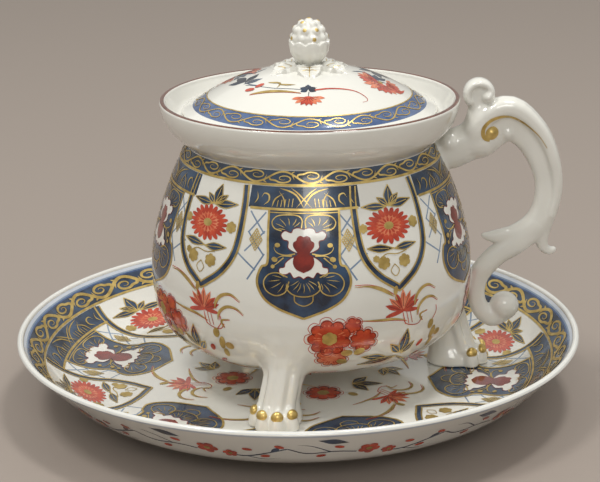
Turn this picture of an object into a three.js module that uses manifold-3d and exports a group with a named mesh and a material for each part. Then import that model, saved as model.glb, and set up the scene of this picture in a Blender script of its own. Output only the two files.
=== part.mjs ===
// Covered broth bowl on three paw feet, with its domed cover and its deep saucer, in porcelain.
// Millimetres, +Z up. The origin is the centre of the saucer's foot ring, on the surface below it.
import * as THREE from 'three';
import { mergeVertices } from 'three/addons/utils/BufferGeometryUtils.js';
import Module from 'manifold-3d';

const wasm = await Module();
wasm.setup();

// Gap between pieces that touch, and the facets round every turned piece
const clearance = 0.3;
const roundSegments = 48;
const finialSegments = 20;
const arcSteps = 6;

// Saucer
const saucerRadius = 119.4;
const saucerHeight = 31;
const saucerFloorTop = 10;
const saucerFloorRadius = 84;
const saucerWall = 4;
const saucerFlare = THREE.MathUtils.degToRad(45);
const saucerLipThickness = 2.8;
const footRingRadius = 71;
const footRingWidth = 5;

// Bowl, with heights above the soles of its feet
const bowlOffsetX = 6;
const bowlOffsetY = 3;
const bellyRadius = 67.6;
const bellyHeight = 49;
const bellyDepth = 38.5;
const bellyFullness = 3.2;
const neckRadius = 51.4;
const neckHeight = 101.3;
const shoulderLowPull = 17;
const shoulderHighPull = new THREE.Vector2(6.1, 11.3);
const bowlWall = 3.8;
const collarRadius = 62.4;
const collarLowPull = new THREE.Vector2(2.1, 2.7);
const collarHighPull = new THREE.Vector2(0.9, 11.2);
const collarRim = 1.3;
const bowlHeight = 119.5;
const galleryDepth = 7.6;
const galleryRadius = 54.3;
const galleryLedge = 4.3;

// Cover
const lidPlay = 1.2;
const lidEdgeThickness = 3;
const lidMargin = 4.2;
const lidMarginRise = 1.2;
const lidRise = 18.7;
const lidWall = 3.2;
const bezelDepth = 8;
const bezelPlay = 2.8;
const bezelWidth = 3.2;

// Finial, a bud in a calyx
const finialHeight = 18.2;
const finialRadius = 8.7;
const finialBaseRadius = 4.8;
const finialRoot = 2;
const calyxShare = 0.58;
const calyxLowPull = new THREE.Vector2(3.4, 1.8);
const calyxHighDrop = 5;
const budRadius = 7.6;
const budSeedRadius = 2.3;
const budSeedRows = [{ count: 7, rise: 0.32 }, { count: 5, rise: 0.72 }];

// Leaves laid round the finial
const leafCount = 6;
const leafLength = 13.5;
const leafHalfWidth = 4.1;
const leafThickness = 1.7;
const leafEndShare = 0.45;
const leafRibShare = 0.7;
const leafCheekShare = 0.6;
const leafTipHalfWidth = 0.35;
const leafStartGap = 1.4;

// Feet: where they stand round the bowl, the leg and the paw
const feet = [
  { name: 'foot_front', azimuth: -102 },
  { name: 'foot_right', azimuth: 4 },
  { name: 'foot_back', azimuth: 131 },
];
const pawCentreRadius = 62.5;
const pawLength = 23;
const pawWidth = 18.4;
const pawHeight = 9;
const legWidth = 14.3;
const legDepth = 17;
const legKneeWidth = 21;
const legKneeStart = 0.375;
const legTop = 38;
const legLean = 5;
const legSetBack = 3;
const legFootDepth = 1;
const toeCount = 4;
const toeSpread = 135;
const toeSetOut = 3;
const toeLength = 7.4;
const toeWidth = 3.1;
const toeHeight = 8.4;
const clawRadius = 1.9;
const clawReach = 1.6;
const clawRise = 0.8;

// Handle. Each branch is a run of points in the plane of the handle: distance from the bowl's axis,
// height above the soles, half the width there. The depth across the plane follows the width.
const handleThickness = 12.4;
const handleFlatness = 0.95;
const handleBranches = {
  arm: [
    [50, 93, 7], [62, 97, 7.3], [70.5, 102, 8.6], [77.5, 107.4, 9.6], [84.5, 109.1, 9],
    [91.6, 104.2, 7.6], [96.7, 97, 6.8], [99.7, 87.7, 6.1], [100.7, 78, 5.8], [99, 69.3, 6],
    [94.4, 62, 6], [87.5, 55.9, 4.6], [80.6, 49.6, 3.7], [74.3, 43.6, 4.2], [71, 36.6, 4.4],
    [70.6, 30.2, 3.9], [73.6, 24.6, 3.6], [78.6, 22.6, 3.5], [83, 23.8, 3.9],
  ],
  leafTip: [[94, 64.5, 5], [88, 62.1, 3.5], [81, 60.5, 2.2], [74.2, 60.5, 0.9]],
  tail: [[97.6, 63.5, 3.6], [98.4, 58.5, 3], [100.2, 54.5, 2.2], [103.6, 53.9, 1]],
  thumb: [
    [72, 100.5, 5], [69.4, 107.5, 4.2], [67.4, 114.5, 3.6], [66.9, 120.9, 3], [70, 125.1, 2.8],
    [73.9, 123.1, 2.4],
  ],
};
const thumbDisc = { x: 70.4, z: 120.5, radius: 5.6, halfDepth: 3.1 };
const thumbEye = { x: 72.4, z: 121.7, radius: 2.3, halfDepth: 4.5 };
const sideEye = { x: 75.2, z: 104.7, radius: 3.5, halfDepth: 7.3 };
const lowerCurl = { x: 84.2, z: 26.8, radius: 6.2, halfDepth: 5 };

const porcelain = { color: 0xf3f0e6, roughness: 0.18, metalness: 0 };

// Worked out from the sizes above
const saucerUnderside = saucerFloorTop - saucerWall;
const ledgeHeight = bowlHeight - galleryDepth;
const boreRadius = galleryRadius - galleryLedge;
const lidRadius = galleryRadius - lidPlay;
const lidDomeRadius = lidRadius - lidMargin;
const lidSeat = ledgeHeight + clearance;

const polar = (radius, angle) => new THREE.Vector2(
  radius * Math.cos(angle),
  radius * Math.sin(angle),
);

// An arc that leaves a flat run and bends up to a slope, which then runs straight to a higher point
function flaredWall(from, to) {
  const across = to.x - from.x;
  const up = to.y - from.y;
  const slope = Math.tan(saucerFlare);
  const radius = (slope * across - up) / (slope * Math.sin(saucerFlare) - 1 + Math.cos(saucerFlare));
  const points = [];
  for (let i = 0; i <= arcSteps; i += 1) {
    const angle = (saucerFlare * i) / arcSteps;
    points.push(new THREE.Vector2(
      from.x + radius * Math.sin(angle),
      from.y + radius * (1 - Math.cos(angle)),
    ));
  }
  return [...points, to];
}

// An arc that leaves a flat run and climbs to a higher point
function risingArc(from, to) {
  const across = to.x - from.x;
  const up = to.y - from.y;
  const radius = (across * across + up * up) / (2 * up);
  const sweep = Math.atan2(across, radius - up);
  const points = [];
  for (let i = 0; i <= arcSteps; i += 1) {
    const angle = (sweep * i) / arcSteps;
    points.push(new THREE.Vector2(
      from.x + radius * Math.sin(angle),
      from.y + radius * (1 - Math.cos(angle)),
    ));
  }
  return points;
}

// Part of an ellipse, from one angle to another
function ellipseArc(centre, radiusX, radiusY, fromAngle, toAngle, steps = arcSteps) {
  const points = [];
  for (let i = 0; i <= steps; i += 1) {
    const angle = fromAngle + ((toAngle - fromAngle) * i) / steps;
    points.push(new THREE.Vector2(
      centre.x + radiusX * Math.cos(angle),
      centre.y + radiusY * Math.sin(angle),
    ));
  }
  return points;
}

// Merges shared corners and drops the faces that have shrunk to nothing on the axis
function weld(geometry) {
  geometry.deleteAttribute('normal');
  geometry.deleteAttribute('uv');
  const welded = mergeVertices(geometry, 1e-3);
  const corners = welded.index.array;
  const kept = [];
  for (let i = 0; i < corners.length; i += 3) {
    const [a, b, c] = corners.slice(i, i + 3);
    if (a !== b && b !== c && c !== a) kept.push(a, b, c);
  }
  welded.setIndex(kept);
  return welded;
}

// A closed mesh as a solid that can be joined and cut, and back
function toSolid(geometry) {
  const welded = weld(geometry);
  return new wasm.Manifold(new wasm.Mesh({
    numProp: 3,
    vertProperties: new Float32Array(welded.attributes.position.array),
    triVerts: new Uint32Array(welded.index.array),
  }));
}

function toGeometry(solid) {
  const { vertProperties, triVerts } = solid.getMesh();
  const geometry = new THREE.BufferGeometry();
  geometry.setAttribute('position', new THREE.BufferAttribute(vertProperties, 3));
  geometry.setIndex(new THREE.BufferAttribute(triVerts, 1));
  return geometry;
}

// A turned piece: its section goes round counter-clockwise, seen with the axis on the left
function turned(section) {
  return new THREE.LatheGeometry(section, roundSegments).rotateX(Math.PI / 2);
}

// Joins rings of equal counts into a closed skin, with a fan over each end
function skin(rings) {
  const count = rings[0].length;
  const last = (rings.length - 1) * count;
  const corners = [];
  for (let ring = 0; ring < last; ring += count) {
    for (let i = 0; i < count; i += 1) {
      const next = (i + 1) % count;
      corners.push(ring + i, ring + next, ring + count + next);
      corners.push(ring + i, ring + count + next, ring + count + i);
    }
  }
  for (let i = 1; i < count - 1; i += 1) {
    corners.push(0, i + 1, i);
    corners.push(last, last + i, last + i + 1);
  }
  const geometry = new THREE.BufferGeometry().setFromPoints(rings.flat());
  geometry.setIndex(corners);
  return geometry;
}

function ball(centre, radii, columns = 10, rows = 7) {
  return new THREE.SphereGeometry(1, columns, rows)
    .rotateX(Math.PI / 2)
    .scale(radii.x, radii.y, radii.z)
    .translate(centre.x, centre.y, centre.z);
}

function mesh(name, geometry) {
  const part = new THREE.Mesh(geometry, new THREE.MeshStandardMaterial(porcelain));
  part.name = name;
  return part;
}

function saucerGeometry() {
  const lipRadius = saucerLipThickness / 2;
  const lipHeight = saucerHeight - lipRadius;
  const outerWall = flaredWall(
    new THREE.Vector2(saucerFloorRadius, saucerUnderside),
    new THREE.Vector2(saucerRadius, lipHeight),
  );
  const innerWall = flaredWall(
    new THREE.Vector2(saucerFloorRadius, saucerFloorTop),
    new THREE.Vector2(saucerRadius - saucerLipThickness, lipHeight),
  );
  const lip = ellipseArc(
    new THREE.Vector2(saucerRadius - lipRadius, lipHeight),
    lipRadius,
    lipRadius,
    0,
    Math.PI,
    4,
  );
  const ringInner = footRingRadius - footRingWidth / 2;
  const ringOuter = footRingRadius + footRingWidth / 2;
  return turned([
    new THREE.Vector2(0, saucerUnderside),
    new THREE.Vector2(ringInner, saucerUnderside),
    new THREE.Vector2(ringInner, 0),
    new THREE.Vector2(ringOuter, 0),
    new THREE.Vector2(ringOuter, saucerUnderside),
    ...outerWall.slice(0, -1),
    ...lip,
    ...innerWall.slice(0, -1).reverse(),
    new THREE.Vector2(0, saucerFloorTop),
  ]);
}

// The belly and shoulder, set back from the outside by a wall
function bellySection(wall, steps) {
  const belly = [];
  for (let i = 0; i <= steps; i += 1) {
    const angle = (i / steps) * (Math.PI / 2);
    belly.push(new THREE.Vector2(
      (bellyRadius - wall) * Math.sin(angle) ** (2 / bellyFullness),
      bellyHeight - (bellyDepth - wall) * Math.cos(angle) ** (2 / bellyFullness),
    ));
  }
  const top = new THREE.Vector2(neckRadius - wall, neckHeight);
  const shoulder = new THREE.CubicBezierCurve(
    new THREE.Vector2(bellyRadius - wall, bellyHeight),
    new THREE.Vector2(bellyRadius - wall, bellyHeight + shoulderLowPull),
    new THREE.Vector2(top.x + shoulderHighPull.x, top.y - shoulderHighPull.y),
    top,
  ).getPoints(steps - 2);
  return [...belly, ...shoulder.slice(1)];
}

// The outside of the bowl from the axis to the rim's crest
function bowlOutside() {
  const neck = new THREE.Vector2(neckRadius, neckHeight);
  const rim = new THREE.Vector2(collarRadius, bowlHeight - collarRim);
  const collar = new THREE.CubicBezierCurve(
    neck,
    neck.clone().add(collarLowPull),
    rim.clone().sub(collarHighPull),
    rim,
  ).getPoints(arcSteps);
  return [...bellySection(0, arcSteps + 2), ...collar.slice(1)];
}

function bowlGeometry() {
  const crest = ellipseArc(
    new THREE.Vector2(collarRadius - collarRim, bowlHeight - collarRim),
    collarRim,
    collarRim,
    0,
    Math.PI,
    4,
  );
  const gallery = risingArc(
    new THREE.Vector2(galleryRadius, ledgeHeight),
    new THREE.Vector2(collarRadius - 2 * collarRim, bowlHeight - collarRim),
  );
  return turned([
    ...bowlOutside(),
    ...crest.slice(1),
    ...gallery.slice(0, -1).reverse(),
    new THREE.Vector2(boreRadius, ledgeHeight),
    ...bellySection(bowlWall, arcSteps).reverse(),
  ]);
}

// The bowl without its hollow and one clearance larger: what is stuck to the bowl is cut by it
function bowlCutter() {
  const outline = bowlOutside();
  const grown = outline.map((point, i) => {
    const before = outline[Math.max(i - 1, 0)];
    const after = outline[Math.min(i + 1, outline.length - 1)];
    const along = after.clone().sub(before).normalize();
    return new THREE.Vector2(point.x + along.y * clearance, point.y - along.x * clearance);
  });
  grown[0].x = 0;
  const rim = grown[grown.length - 1];
  return toSolid(turned([
    ...grown,
    new THREE.Vector2(rim.x, bowlHeight + clearance),
    new THREE.Vector2(0, bowlHeight + clearance),
  ]));
}

// The dome is part of a sphere; this gives its centre height and radius above the cover's seat
function lidDome() {
  const rise = lidRise - lidMarginRise;
  const radius = (lidDomeRadius * lidDomeRadius + rise * rise) / (2 * rise);
  return { radius, centre: lidEdgeThickness + lidRise - radius };
}

function domeArc(radius, centre, reach) {
  const sweep = Math.asin(reach / radius);
  const points = [];
  for (let i = 0; i <= arcSteps; i += 1) {
    const angle = (sweep * i) / arcSteps;
    points.push(new THREE.Vector2(
      radius * Math.sin(angle),
      centre + radius * Math.cos(angle),
    ));
  }
  return points;
}

function lidGeometry() {
  const dome = lidDome();
  const bezelRadius = boreRadius - bezelPlay;
  const bezelInner = bezelRadius - bezelWidth;
  const edgeRound = lidEdgeThickness / 3;
  return turned([
    ...domeArc(dome.radius - lidWall, dome.centre, bezelInner),
    new THREE.Vector2(bezelInner, -bezelDepth),
    new THREE.Vector2(bezelRadius, -bezelDepth),
    new THREE.Vector2(bezelRadius, 0),
    new THREE.Vector2(lidRadius - edgeRound, 0),
    new THREE.Vector2(lidRadius, edgeRound),
    new THREE.Vector2(lidRadius, lidEdgeThickness - edgeRound),
    new THREE.Vector2(lidRadius - edgeRound, lidEdgeThickness),
    ...domeArc(dome.radius, dome.centre, lidDomeRadius).reverse(),
  ]);
}

// A piece stuck to the cover is cut by the dome, one clearance larger
function domeCutter() {
  const dome = lidDome();
  const radius = dome.radius + clearance;
  const cap = domeArc(radius, dome.centre, lidRadius);
  return toSolid(turned([
    new THREE.Vector2(0, cap[cap.length - 1].y),
    ...cap.reverse(),
  ]));
}

function finialGeometry() {
  const base = lidEdgeThickness + lidRise;
  const rimHeight = base + finialHeight * calyxShare;
  const calyxFoot = new THREE.Vector2(finialBaseRadius, base);
  const calyx = new THREE.CubicBezierCurve(
    calyxFoot,
    calyxFoot.clone().add(calyxLowPull),
    new THREE.Vector2(finialRadius, rimHeight - calyxHighDrop),
    new THREE.Vector2(finialRadius, rimHeight),
  ).getPoints(5);
  const bud = ellipseArc(
    new THREE.Vector2(0, rimHeight),
    budRadius,
    base + finialHeight - rimHeight,
    0,
    Math.PI / 2,
    5,
  );
  bud[bud.length - 1].x = 0;
  const body = new THREE.LatheGeometry(
    [
      new THREE.Vector2(0, base - finialRoot),
      new THREE.Vector2(finialBaseRadius, base - finialRoot),
      ...calyx,
      ...bud,
    ],
    finialSegments,
  ).rotateX(Math.PI / 2);
  let solid = toSolid(body);
  budSeedRows.forEach((row, rowIndex) => {
    const angleUp = row.rise * (Math.PI / 2);
    const height = rimHeight + (finialHeight * (1 - calyxShare) - budSeedRadius / 2) * Math.sin(angleUp);
    for (let i = 0; i < row.count; i += 1) {
      const around = polar(
        (budRadius - budSeedRadius / 2) * Math.cos(angleUp),
        ((i + rowIndex / 2) / row.count) * 2 * Math.PI,
      );
      const seedRadii = new THREE.Vector3(budSeedRadius, budSeedRadius, budSeedRadius);
      const seed = ball(new THREE.Vector3(around.x, around.y, height), seedRadii, 6, 4);
      solid = solid.add(toSolid(seed));
    }
  });
  return toGeometry(solid.subtract(domeCutter()));
}

// A leaf that lies on the dome, pointing out at an azimuth
function leafGeometry(azimuth) {
  const dome = lidDome();
  const start = finialBaseRadius + leafStartGap;
  const steps = 7;
  const tipTaper = 0.75;
  const endShift = 0.2;
  const rings = [];
  const onDome = (along, across, height) => {
    const radius = dome.radius + clearance + height;
    const tilt = (start + along) / dome.radius;
    const side = across / (start + along);
    const out = polar(radius * Math.sin(tilt), azimuth + side);
    return new THREE.Vector3(out.x, out.y, dome.centre + radius * Math.cos(tilt));
  };
  for (let i = 0; i <= steps; i += 1) {
    const share = i / steps;
    const half = Math.max(leafTipHalfWidth, leafHalfWidth * Math.sin(Math.PI * share ** tipTaper));
    const swell = Math.sin(Math.PI * Math.min(share + endShift, 1));
    const body = leafThickness * (leafEndShare + (1 - leafEndShare) * swell);
    const along = leafLength * share;
    rings.push([
      onDome(along, half, 0),
      onDome(along, half * leafCheekShare, body),
      onDome(along, 0, body * leafRibShare),
      onDome(along, -half * leafCheekShare, body),
      onDome(along, -half, 0),
    ]);
  }
  return skin(rings);
}

// A tapering run of oval rings along points in the plane of the handle, grown all round by a margin
function branchSolid(points, margin) {
  const route = new THREE.CatmullRomCurve3(
    points.map(([x, z, halfWidth]) => new THREE.Vector3(x, z, halfWidth)),
    false,
    'centripetal',
  );
  const ringsPerPoint = 1.5;
  const steps = Math.round(points.length * ringsPerPoint);
  const sides = 10;
  const rings = [];
  for (let i = 0; i <= steps; i += 1) {
    const at = route.getPoint(i / steps);
    const before = route.getPoint(Math.max(i - 0.5, 0) / steps);
    const after = route.getPoint(Math.min(i + 0.5, steps) / steps);
    const along = new THREE.Vector2(after.x - before.x, after.y - before.y).normalize();
    const halfWidth = at.z + margin;
    const depth = Math.min(handleThickness / 2, at.z * handleFlatness) + margin;
    const ring = [];
    for (let side = 0; side < sides; side += 1) {
      const around = polar(1, (side / sides) * 2 * Math.PI);
      ring.push(new THREE.Vector3(
        at.x - along.y * halfWidth * around.x,
        -depth * around.y,
        at.y + along.x * halfWidth * around.x,
      ));
    }
    rings.push(ring);
  }
  return toSolid(skin(rings));
}

// A flattened ball on the plane of the handle, with the round outline of a scroll's end or eye
function disc({ x, z, radius, halfDepth }, margin, columns = 10) {
  const radii = new THREE.Vector3(radius + margin, halfDepth + margin, radius + margin);
  return toSolid(ball(new THREE.Vector3(x, 0, z), radii, columns, 6));
}

function handleSolid(margin = 0) {
  return branchSolid(handleBranches.arm, margin)
    .add(branchSolid(handleBranches.leafTip, margin))
    .add(branchSolid(handleBranches.tail, margin))
    .add(branchSolid(handleBranches.thumb, margin))
    .add(disc(thumbDisc, margin))
    .add(disc(thumbEye, margin, 8))
    .add(disc(sideEye, margin, 8))
    .add(disc(lowerCurl, margin));
}

function handleGeometry() {
  return toGeometry(handleSolid().subtract(bowlCutter()));
}

// One foot, standing at the paw's radius on the +X side before it is turned to its place
function footSolid() {
  const pawSemi = new THREE.Vector3(pawLength / 2, pawWidth / 2, pawHeight);
  let solid = toSolid(ball(new THREE.Vector3(pawCentreRadius, 0, 0), pawSemi, 14, 8));
  const rings = [];
  const levels = 6;
  const sides = 14;
  for (let level = 0; level <= levels; level += 1) {
    const share = level / levels;
    const knee = Math.max(0, (share - legKneeStart) / (1 - legKneeStart));
    const halfWidth = (legWidth + (legKneeWidth - legWidth) * knee) / 2;
    const centre = pawCentreRadius - legSetBack - legLean * share;
    const ring = [];
    for (let side = 0; side < sides; side += 1) {
      const around = polar(1, (side / sides) * 2 * Math.PI);
      ring.push(new THREE.Vector3(
        centre + (legDepth / 2) * around.x,
        halfWidth * around.y,
        (legTop + legFootDepth) * share - legFootDepth,
      ));
    }
    rings.push(ring);
  }
  solid = solid.add(toSolid(skin(rings)));
  for (let toe = 0; toe < toeCount; toe += 1) {
    const turn = THREE.MathUtils.degToRad(toeSpread * (toe / (toeCount - 1) - 0.5));
    const toeRadius = (pawWidth - toeWidth) / 2;
    const toeBall = ball(
      new THREE.Vector3(toeRadius, 0, 0),
      new THREE.Vector3(toeLength / 2, toeWidth, toeHeight),
      8,
      6,
    );
    const claw = ball(
      new THREE.Vector3(toeRadius + clawReach, 0, toeHeight * clawRise),
      new THREE.Vector3(clawRadius, clawRadius, clawRadius),
      6,
      5,
    );
    [toeBall, claw].forEach((piece) => {
      piece.rotateZ(turn).translate(pawCentreRadius + toeSetOut, 0, 0);
      solid = solid.add(toSolid(piece));
    });
  }
  const below = new THREE.BoxGeometry(pawLength * 4, pawWidth * 4, pawHeight * 2)
    .translate(pawCentreRadius, 0, -pawHeight);
  return solid.subtract(toSolid(below));
}

// A foot at an azimuth, fitted under the bowl and clear of the handle
function footGeometry(azimuth) {
  const fitted = footSolid().rotate([0, 0, azimuth]).subtract(bowlCutter());
  return toGeometry(fitted.subtract(handleSolid(clearance)));
}

function lidGroup() {
  const group = new THREE.Group();
  group.add(mesh('lid', weld(lidGeometry())));
  group.add(mesh('finial', finialGeometry()));
  for (let i = 0; i < leafCount; i += 1) {
    group.add(mesh(`leaf_${i + 1}`, leafGeometry(((i + 0.5) / leafCount) * 2 * Math.PI)));
  }
  group.position.z = lidSeat;
  return group;
}

function bowlGroup() {
  const group = new THREE.Group();
  group.add(mesh('bowl_body', weld(bowlGeometry())));
  group.add(mesh('handle', handleGeometry()));
  feet.forEach(({ name, azimuth }) => group.add(mesh(name, footGeometry(azimuth))));
  group.add(lidGroup());
  group.position.set(bowlOffsetX, bowlOffsetY, saucerFloorTop + clearance);
  return group;
}

const set = new THREE.Group();
set.add(mesh('saucer', weld(saucerGeometry())));
set.add(bowlGroup());

export default set;
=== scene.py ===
"""A covered porcelain broth bowl on its saucer, painted in blue, iron red and gold.

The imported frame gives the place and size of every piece. Sizes below are in millimetres.
"""
import bisect
import math

import bpy
import numpy as np
from mathutils import Matrix, Vector
from mathutils.geometry import delaunay_2d_cdt


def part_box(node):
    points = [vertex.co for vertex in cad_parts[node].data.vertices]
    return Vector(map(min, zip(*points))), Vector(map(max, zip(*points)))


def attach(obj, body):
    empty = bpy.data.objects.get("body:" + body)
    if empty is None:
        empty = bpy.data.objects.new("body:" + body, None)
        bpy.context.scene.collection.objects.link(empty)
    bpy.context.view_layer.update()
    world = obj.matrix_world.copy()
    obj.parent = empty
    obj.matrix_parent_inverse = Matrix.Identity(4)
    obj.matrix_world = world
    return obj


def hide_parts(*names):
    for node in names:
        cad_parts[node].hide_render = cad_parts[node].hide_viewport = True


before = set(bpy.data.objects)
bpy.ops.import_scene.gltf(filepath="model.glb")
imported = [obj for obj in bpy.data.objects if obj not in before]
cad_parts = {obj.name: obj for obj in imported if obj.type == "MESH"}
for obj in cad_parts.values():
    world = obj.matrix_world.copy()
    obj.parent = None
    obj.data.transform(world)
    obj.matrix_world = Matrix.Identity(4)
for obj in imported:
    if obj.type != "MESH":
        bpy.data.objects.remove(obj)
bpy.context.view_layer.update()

MM = 0.001


def box_mm(node):
    """The lowest and highest corner of a CAD node in millimetres."""
    low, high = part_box(node)
    return Vector(low) / MM, Vector(high) / MM


saucer_low, saucer_high = box_mm("saucer")
bowl_low, bowl_high = box_mm("bowl_body")
lid_low, lid_high = box_mm("lid")
sole_height = box_mm("foot_front")[0].z
bowl_axis = (bowl_low + bowl_high).to_2d() / 2

# Camera at the photo's viewing angle
CAMERA_PLACE = Vector((0.0013, -0.74375, 0.29842))
CAMERA_PITCH = math.radians(17.225)
CAMERA_ROLL = math.radians(0.7)
CAMERA_LENS = 110.42
CAMERA_SENSOR = 36

# Studio, in metres and watts. A lamp has a place, a side and a power.
FLOOR_COLOUR = (0.316, 0.27, 0.238)
FLOOR_ROUGHNESS = 0.7
FLOOR_HALF_SIDE = 30
FLOOR_DROP = 0.0002
WORLD_COLOUR = (1, 0.98, 0.93)
WORLD_STRENGTH = 0.36
LAMP_COLOUR = (1, 0.985, 0.95)
LAMP_AIM = Vector((0, 0, 0.07))
LAMPS = {
    "top_left": ((-0.6, -0.3, 1.55), 0.36, 8.5),
    "top_right": ((0.35, 0.05, 1.6), 0.24, 8.5),
    "front": ((0.1, -1.35, 0.85), 0.5, 4.4),
}
DAYLIGHT_STRENGTH = 0.75
DAYLIGHT_SPREAD = math.radians(140)
DAYLIGHT_HEIGHT = 2

# Facets round a turned piece, steps on each stretch of its profile and round each of its corners
ROUND = 240
STEPS = 14
CORNER_STEPS = 5
# Lengths below this count as none
TINY = 1e-6
# Edges that turn by more degrees than this stay creased
CREASE = 40
SMOOTH = 180

# Saucer
SAUCER_RADIUS = (saucer_high.x - saucer_low.x) / 2
SAUCER_HEIGHT = saucer_high.z
SAUCER_FLOOR_TOP = 10
SAUCER_FLOOR_RADIUS = 84
SAUCER_WALL = 4
SAUCER_FLARE = math.radians(45)
SAUCER_LIP = 2.8
LIP_HEIGHT = SAUCER_HEIGHT - SAUCER_LIP / 2
# The longest step along the saucer's outline
SAUCER_SPAN = 4
FOOT_RING_RADIUS = 71
FOOT_RING_WIDTH = 5
FOOT_RING_ROUND = 1.2

# Bowl, with heights above the soles of its feet
BELLY_RADIUS = 67.6
BELLY_HEIGHT = 49
BELLY_DEPTH = 38.5
BELLY_FULLNESS = 3.2
# The longest step along the belly's outline
BELLY_SPAN = 2.5
NECK_RADIUS = 51.4
NECK_HEIGHT = 101.3
SHOULDER_LOW_PULL = 17
SHOULDER_HIGH_PULL = Vector((6.1, 11.3))
BOWL_WALL = 3.8
COLLAR_RADIUS = 62.4
COLLAR_LOW_PULL = Vector((2.1, 2.7))
COLLAR_HIGH_PULL = Vector((0.9, 11.2))
COLLAR_RIM = 1.3
BOWL_HEIGHT = bowl_high.z - sole_height
GALLERY_RADIUS = 54.3
GALLERY_LEDGE = 4.3
GALLERY_DEPTH = 7.6
GALLERY_TOP_PULL = Vector((0.35, 0.6))
GALLERY_LOW_PULL = Vector((0.5, 0))
LEDGE_HEIGHT = BOWL_HEIGHT - GALLERY_DEPTH
LEDGE_ROUND = 0.8
NECK_ROUND = 0.5

# Cover, with heights above its seat
LID_RADIUS = (lid_high.x - lid_low.x) / 2
LID_EDGE = 3
LID_EDGE_ROUND = 1.1
# Where the outline of the cover's top begins, in from its edge
LID_TOP_INSET = 1
LID_MARGIN = 4.2
LID_MARGIN_RISE = 1.2
LID_RISE = 17.3
LID_WALL = 3.2
BEZEL_DEPTH = 8
BEZEL_RADIUS = 47.2
BEZEL_WIDTH = 3.2
LID_SEAT = lid_low.z + BEZEL_DEPTH
DOME_TOP = LID_EDGE + LID_RISE

# Where each body's pieces stand, for sizes that count from its axis and its own height
SAUCER_PLACE = ("saucer", Vector((0, 0, 0)))
BOWL_PLACE = ("bowl", Vector((*bowl_axis, sole_height)))
LID_PLACE = ("lid", Vector((*bowl_axis, LID_SEAT)))

# Handle, from the bowl's axis and above the soles of its feet, with the step and corners of its grid
HANDLE_GRAIN = 0.6
HANDLE_LOW = (48, -8, 15)
HANDLE_HIGH = (108, 8, 131)
HANDLE_DEPTH = 6.2
HANDLE_FLATNESS = 0.95
# How full the section of a branch is, from 2 for an oval
BRANCH_FULLNESS = 2.4
ARM_FULLNESS = 2.6
RIDGE_FULLNESS = 2.8
# Share of its full depth that the arm has along its ridge, and the stretch over which it swells
PANEL_SHARE = 0.62
PANEL_END = (0.36, 0.56)
# The ridge's place and size as shares of the arm's half width
RIDGE_SHIFT = 0.54
RIDGE_SHARE = 0.46
# Branches of the handle: distance from the axis, height, half width
ROOT = [(50, 93, 7), (60, 96.3, 7.6), (65.6, 99.4, 6.6)]
ARM = [
    (60, 96.3, 7.6), (70.5, 101.2, 8.4), (77, 106.6, 9.4), (83, 108.9, 9.2), (90.5, 103.8, 7.9),
    (95.6, 96.6, 7.1), (99.2, 87, 6.2), (100.2, 78.2, 5.7), (98.4, 68.8, 5.5), (93.6, 61, 5.5),
    (86.8, 54.8, 4.9), (79.8, 50.2, 4.5), (74.8, 45.3, 4.4), (71.6, 40.4, 4.2), (70.5, 34.6, 3.8),
    (71, 28.9, 3.7), (73.4, 24.4, 4), (77.4, 21.9, 4.3), (81, 23, 4),
]
RIDGE_FIRST = 1
RIDGE_LAST = 8
LEAF_TIP = [(94, 62.4, 4.8), (86, 58.6, 3.9), (79.8, 57.7, 3.1), (75.8, 57.7, 2.1), (73.2, 58.3, 1)]
TAIL = [(98.6, 62, 3.4), (97.8, 57, 2.9), (98.6, 53.2, 2.3), (101, 51.2, 1.9), (103, 51.6, 1.3)]
THUMB = [(71.5, 100, 7), (70.2, 107, 5.6), (69.7, 113, 4), (69.1, 116.4, 3.4)]
VOLUTE_CENTRE = (70.3, 119.6)
VOLUTE_RADIUS = 4.9
VOLUTE_BAND = 1.9
VOLUTE_DEPTH = 4.6
VOLUTE_START = 215
VOLUTE_SWEEP = 200
# Balls of the handle: middle, radius, half depth
ROUND_FORMS = [
    (VOLUTE_CENTRE, 5, 3),
    ((73.8, 118.8), 3.1, 5.7),
    ((82.4, 103.4), 4, 4.6),
    ((57.6, 99.4), 5, 7),
    ((75.5, 104), 3.1, 6),
    ((82.6, 26.6), 6.3, 5.6),
]
GILT_DISC = ((75.5, 104), 2.8)
GILT_DISC_GRAIN = 0.5
GILT_LINE_WIDTH = 1.9
GILT_LINE = [
    (74.6, 101.4), (72.5, 102.1), (71.6, 104), (71.9, 106.3), (73.3, 108.2), (75.8, 110), (79.9, 111),
    (84, 110.4), (88.4, 108.2), (92.6, 104.9), (95.4, 102), (98.3, 97.6),
]
# Widths of the fillets between forms
SOFT_JOIN = 2.2
CRISP_JOIN = 1
BOWL_JOIN = 1.5
# Faces that stand out of the bowl by less than this are left out
SEAM = 0.04
# How far gilding lies over a modelled form
GILT_LIFT = 0.12
# Where no form is yet, and the moves towards and away from its neighbours that smooth each vertex
FAR = 1e3
SMOOTHING = (0.5, -0.53) * 3

# Feet, in the same measure as the handle
FOOT_GRAIN = 0.5
FOOT_LOW = (40, -17, -1.5)
FOOT_HIGH = (80, 17, 44)
PAW_RADIUS = 62.5
PAW_RADII = Vector((11.5, 9.4, 8.6))
# Leg sections from the sole up: height, set outwards from the paw's middle, half depth, half width
LEG = [(-1, -3, 8.6, 7.6), (9, -3.2, 8.4, 7.2), (18, -4.2, 8.4, 7.3), (27, -6, 8.8, 8.8), (40, -8.4, 9, 11)]
LEG_ASIDE = 2
LEAN_HEIGHTS = (4, 16)
TOE_TURNS = (-72, -28, 14, 56)
TOE_RING = 7.7
TOE_SET_OUT = 3
TOE_RADII = Vector((3.9, 3.5, 8.2))
PAW_JOIN = 3
FOOT_JOIN = 5
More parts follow.
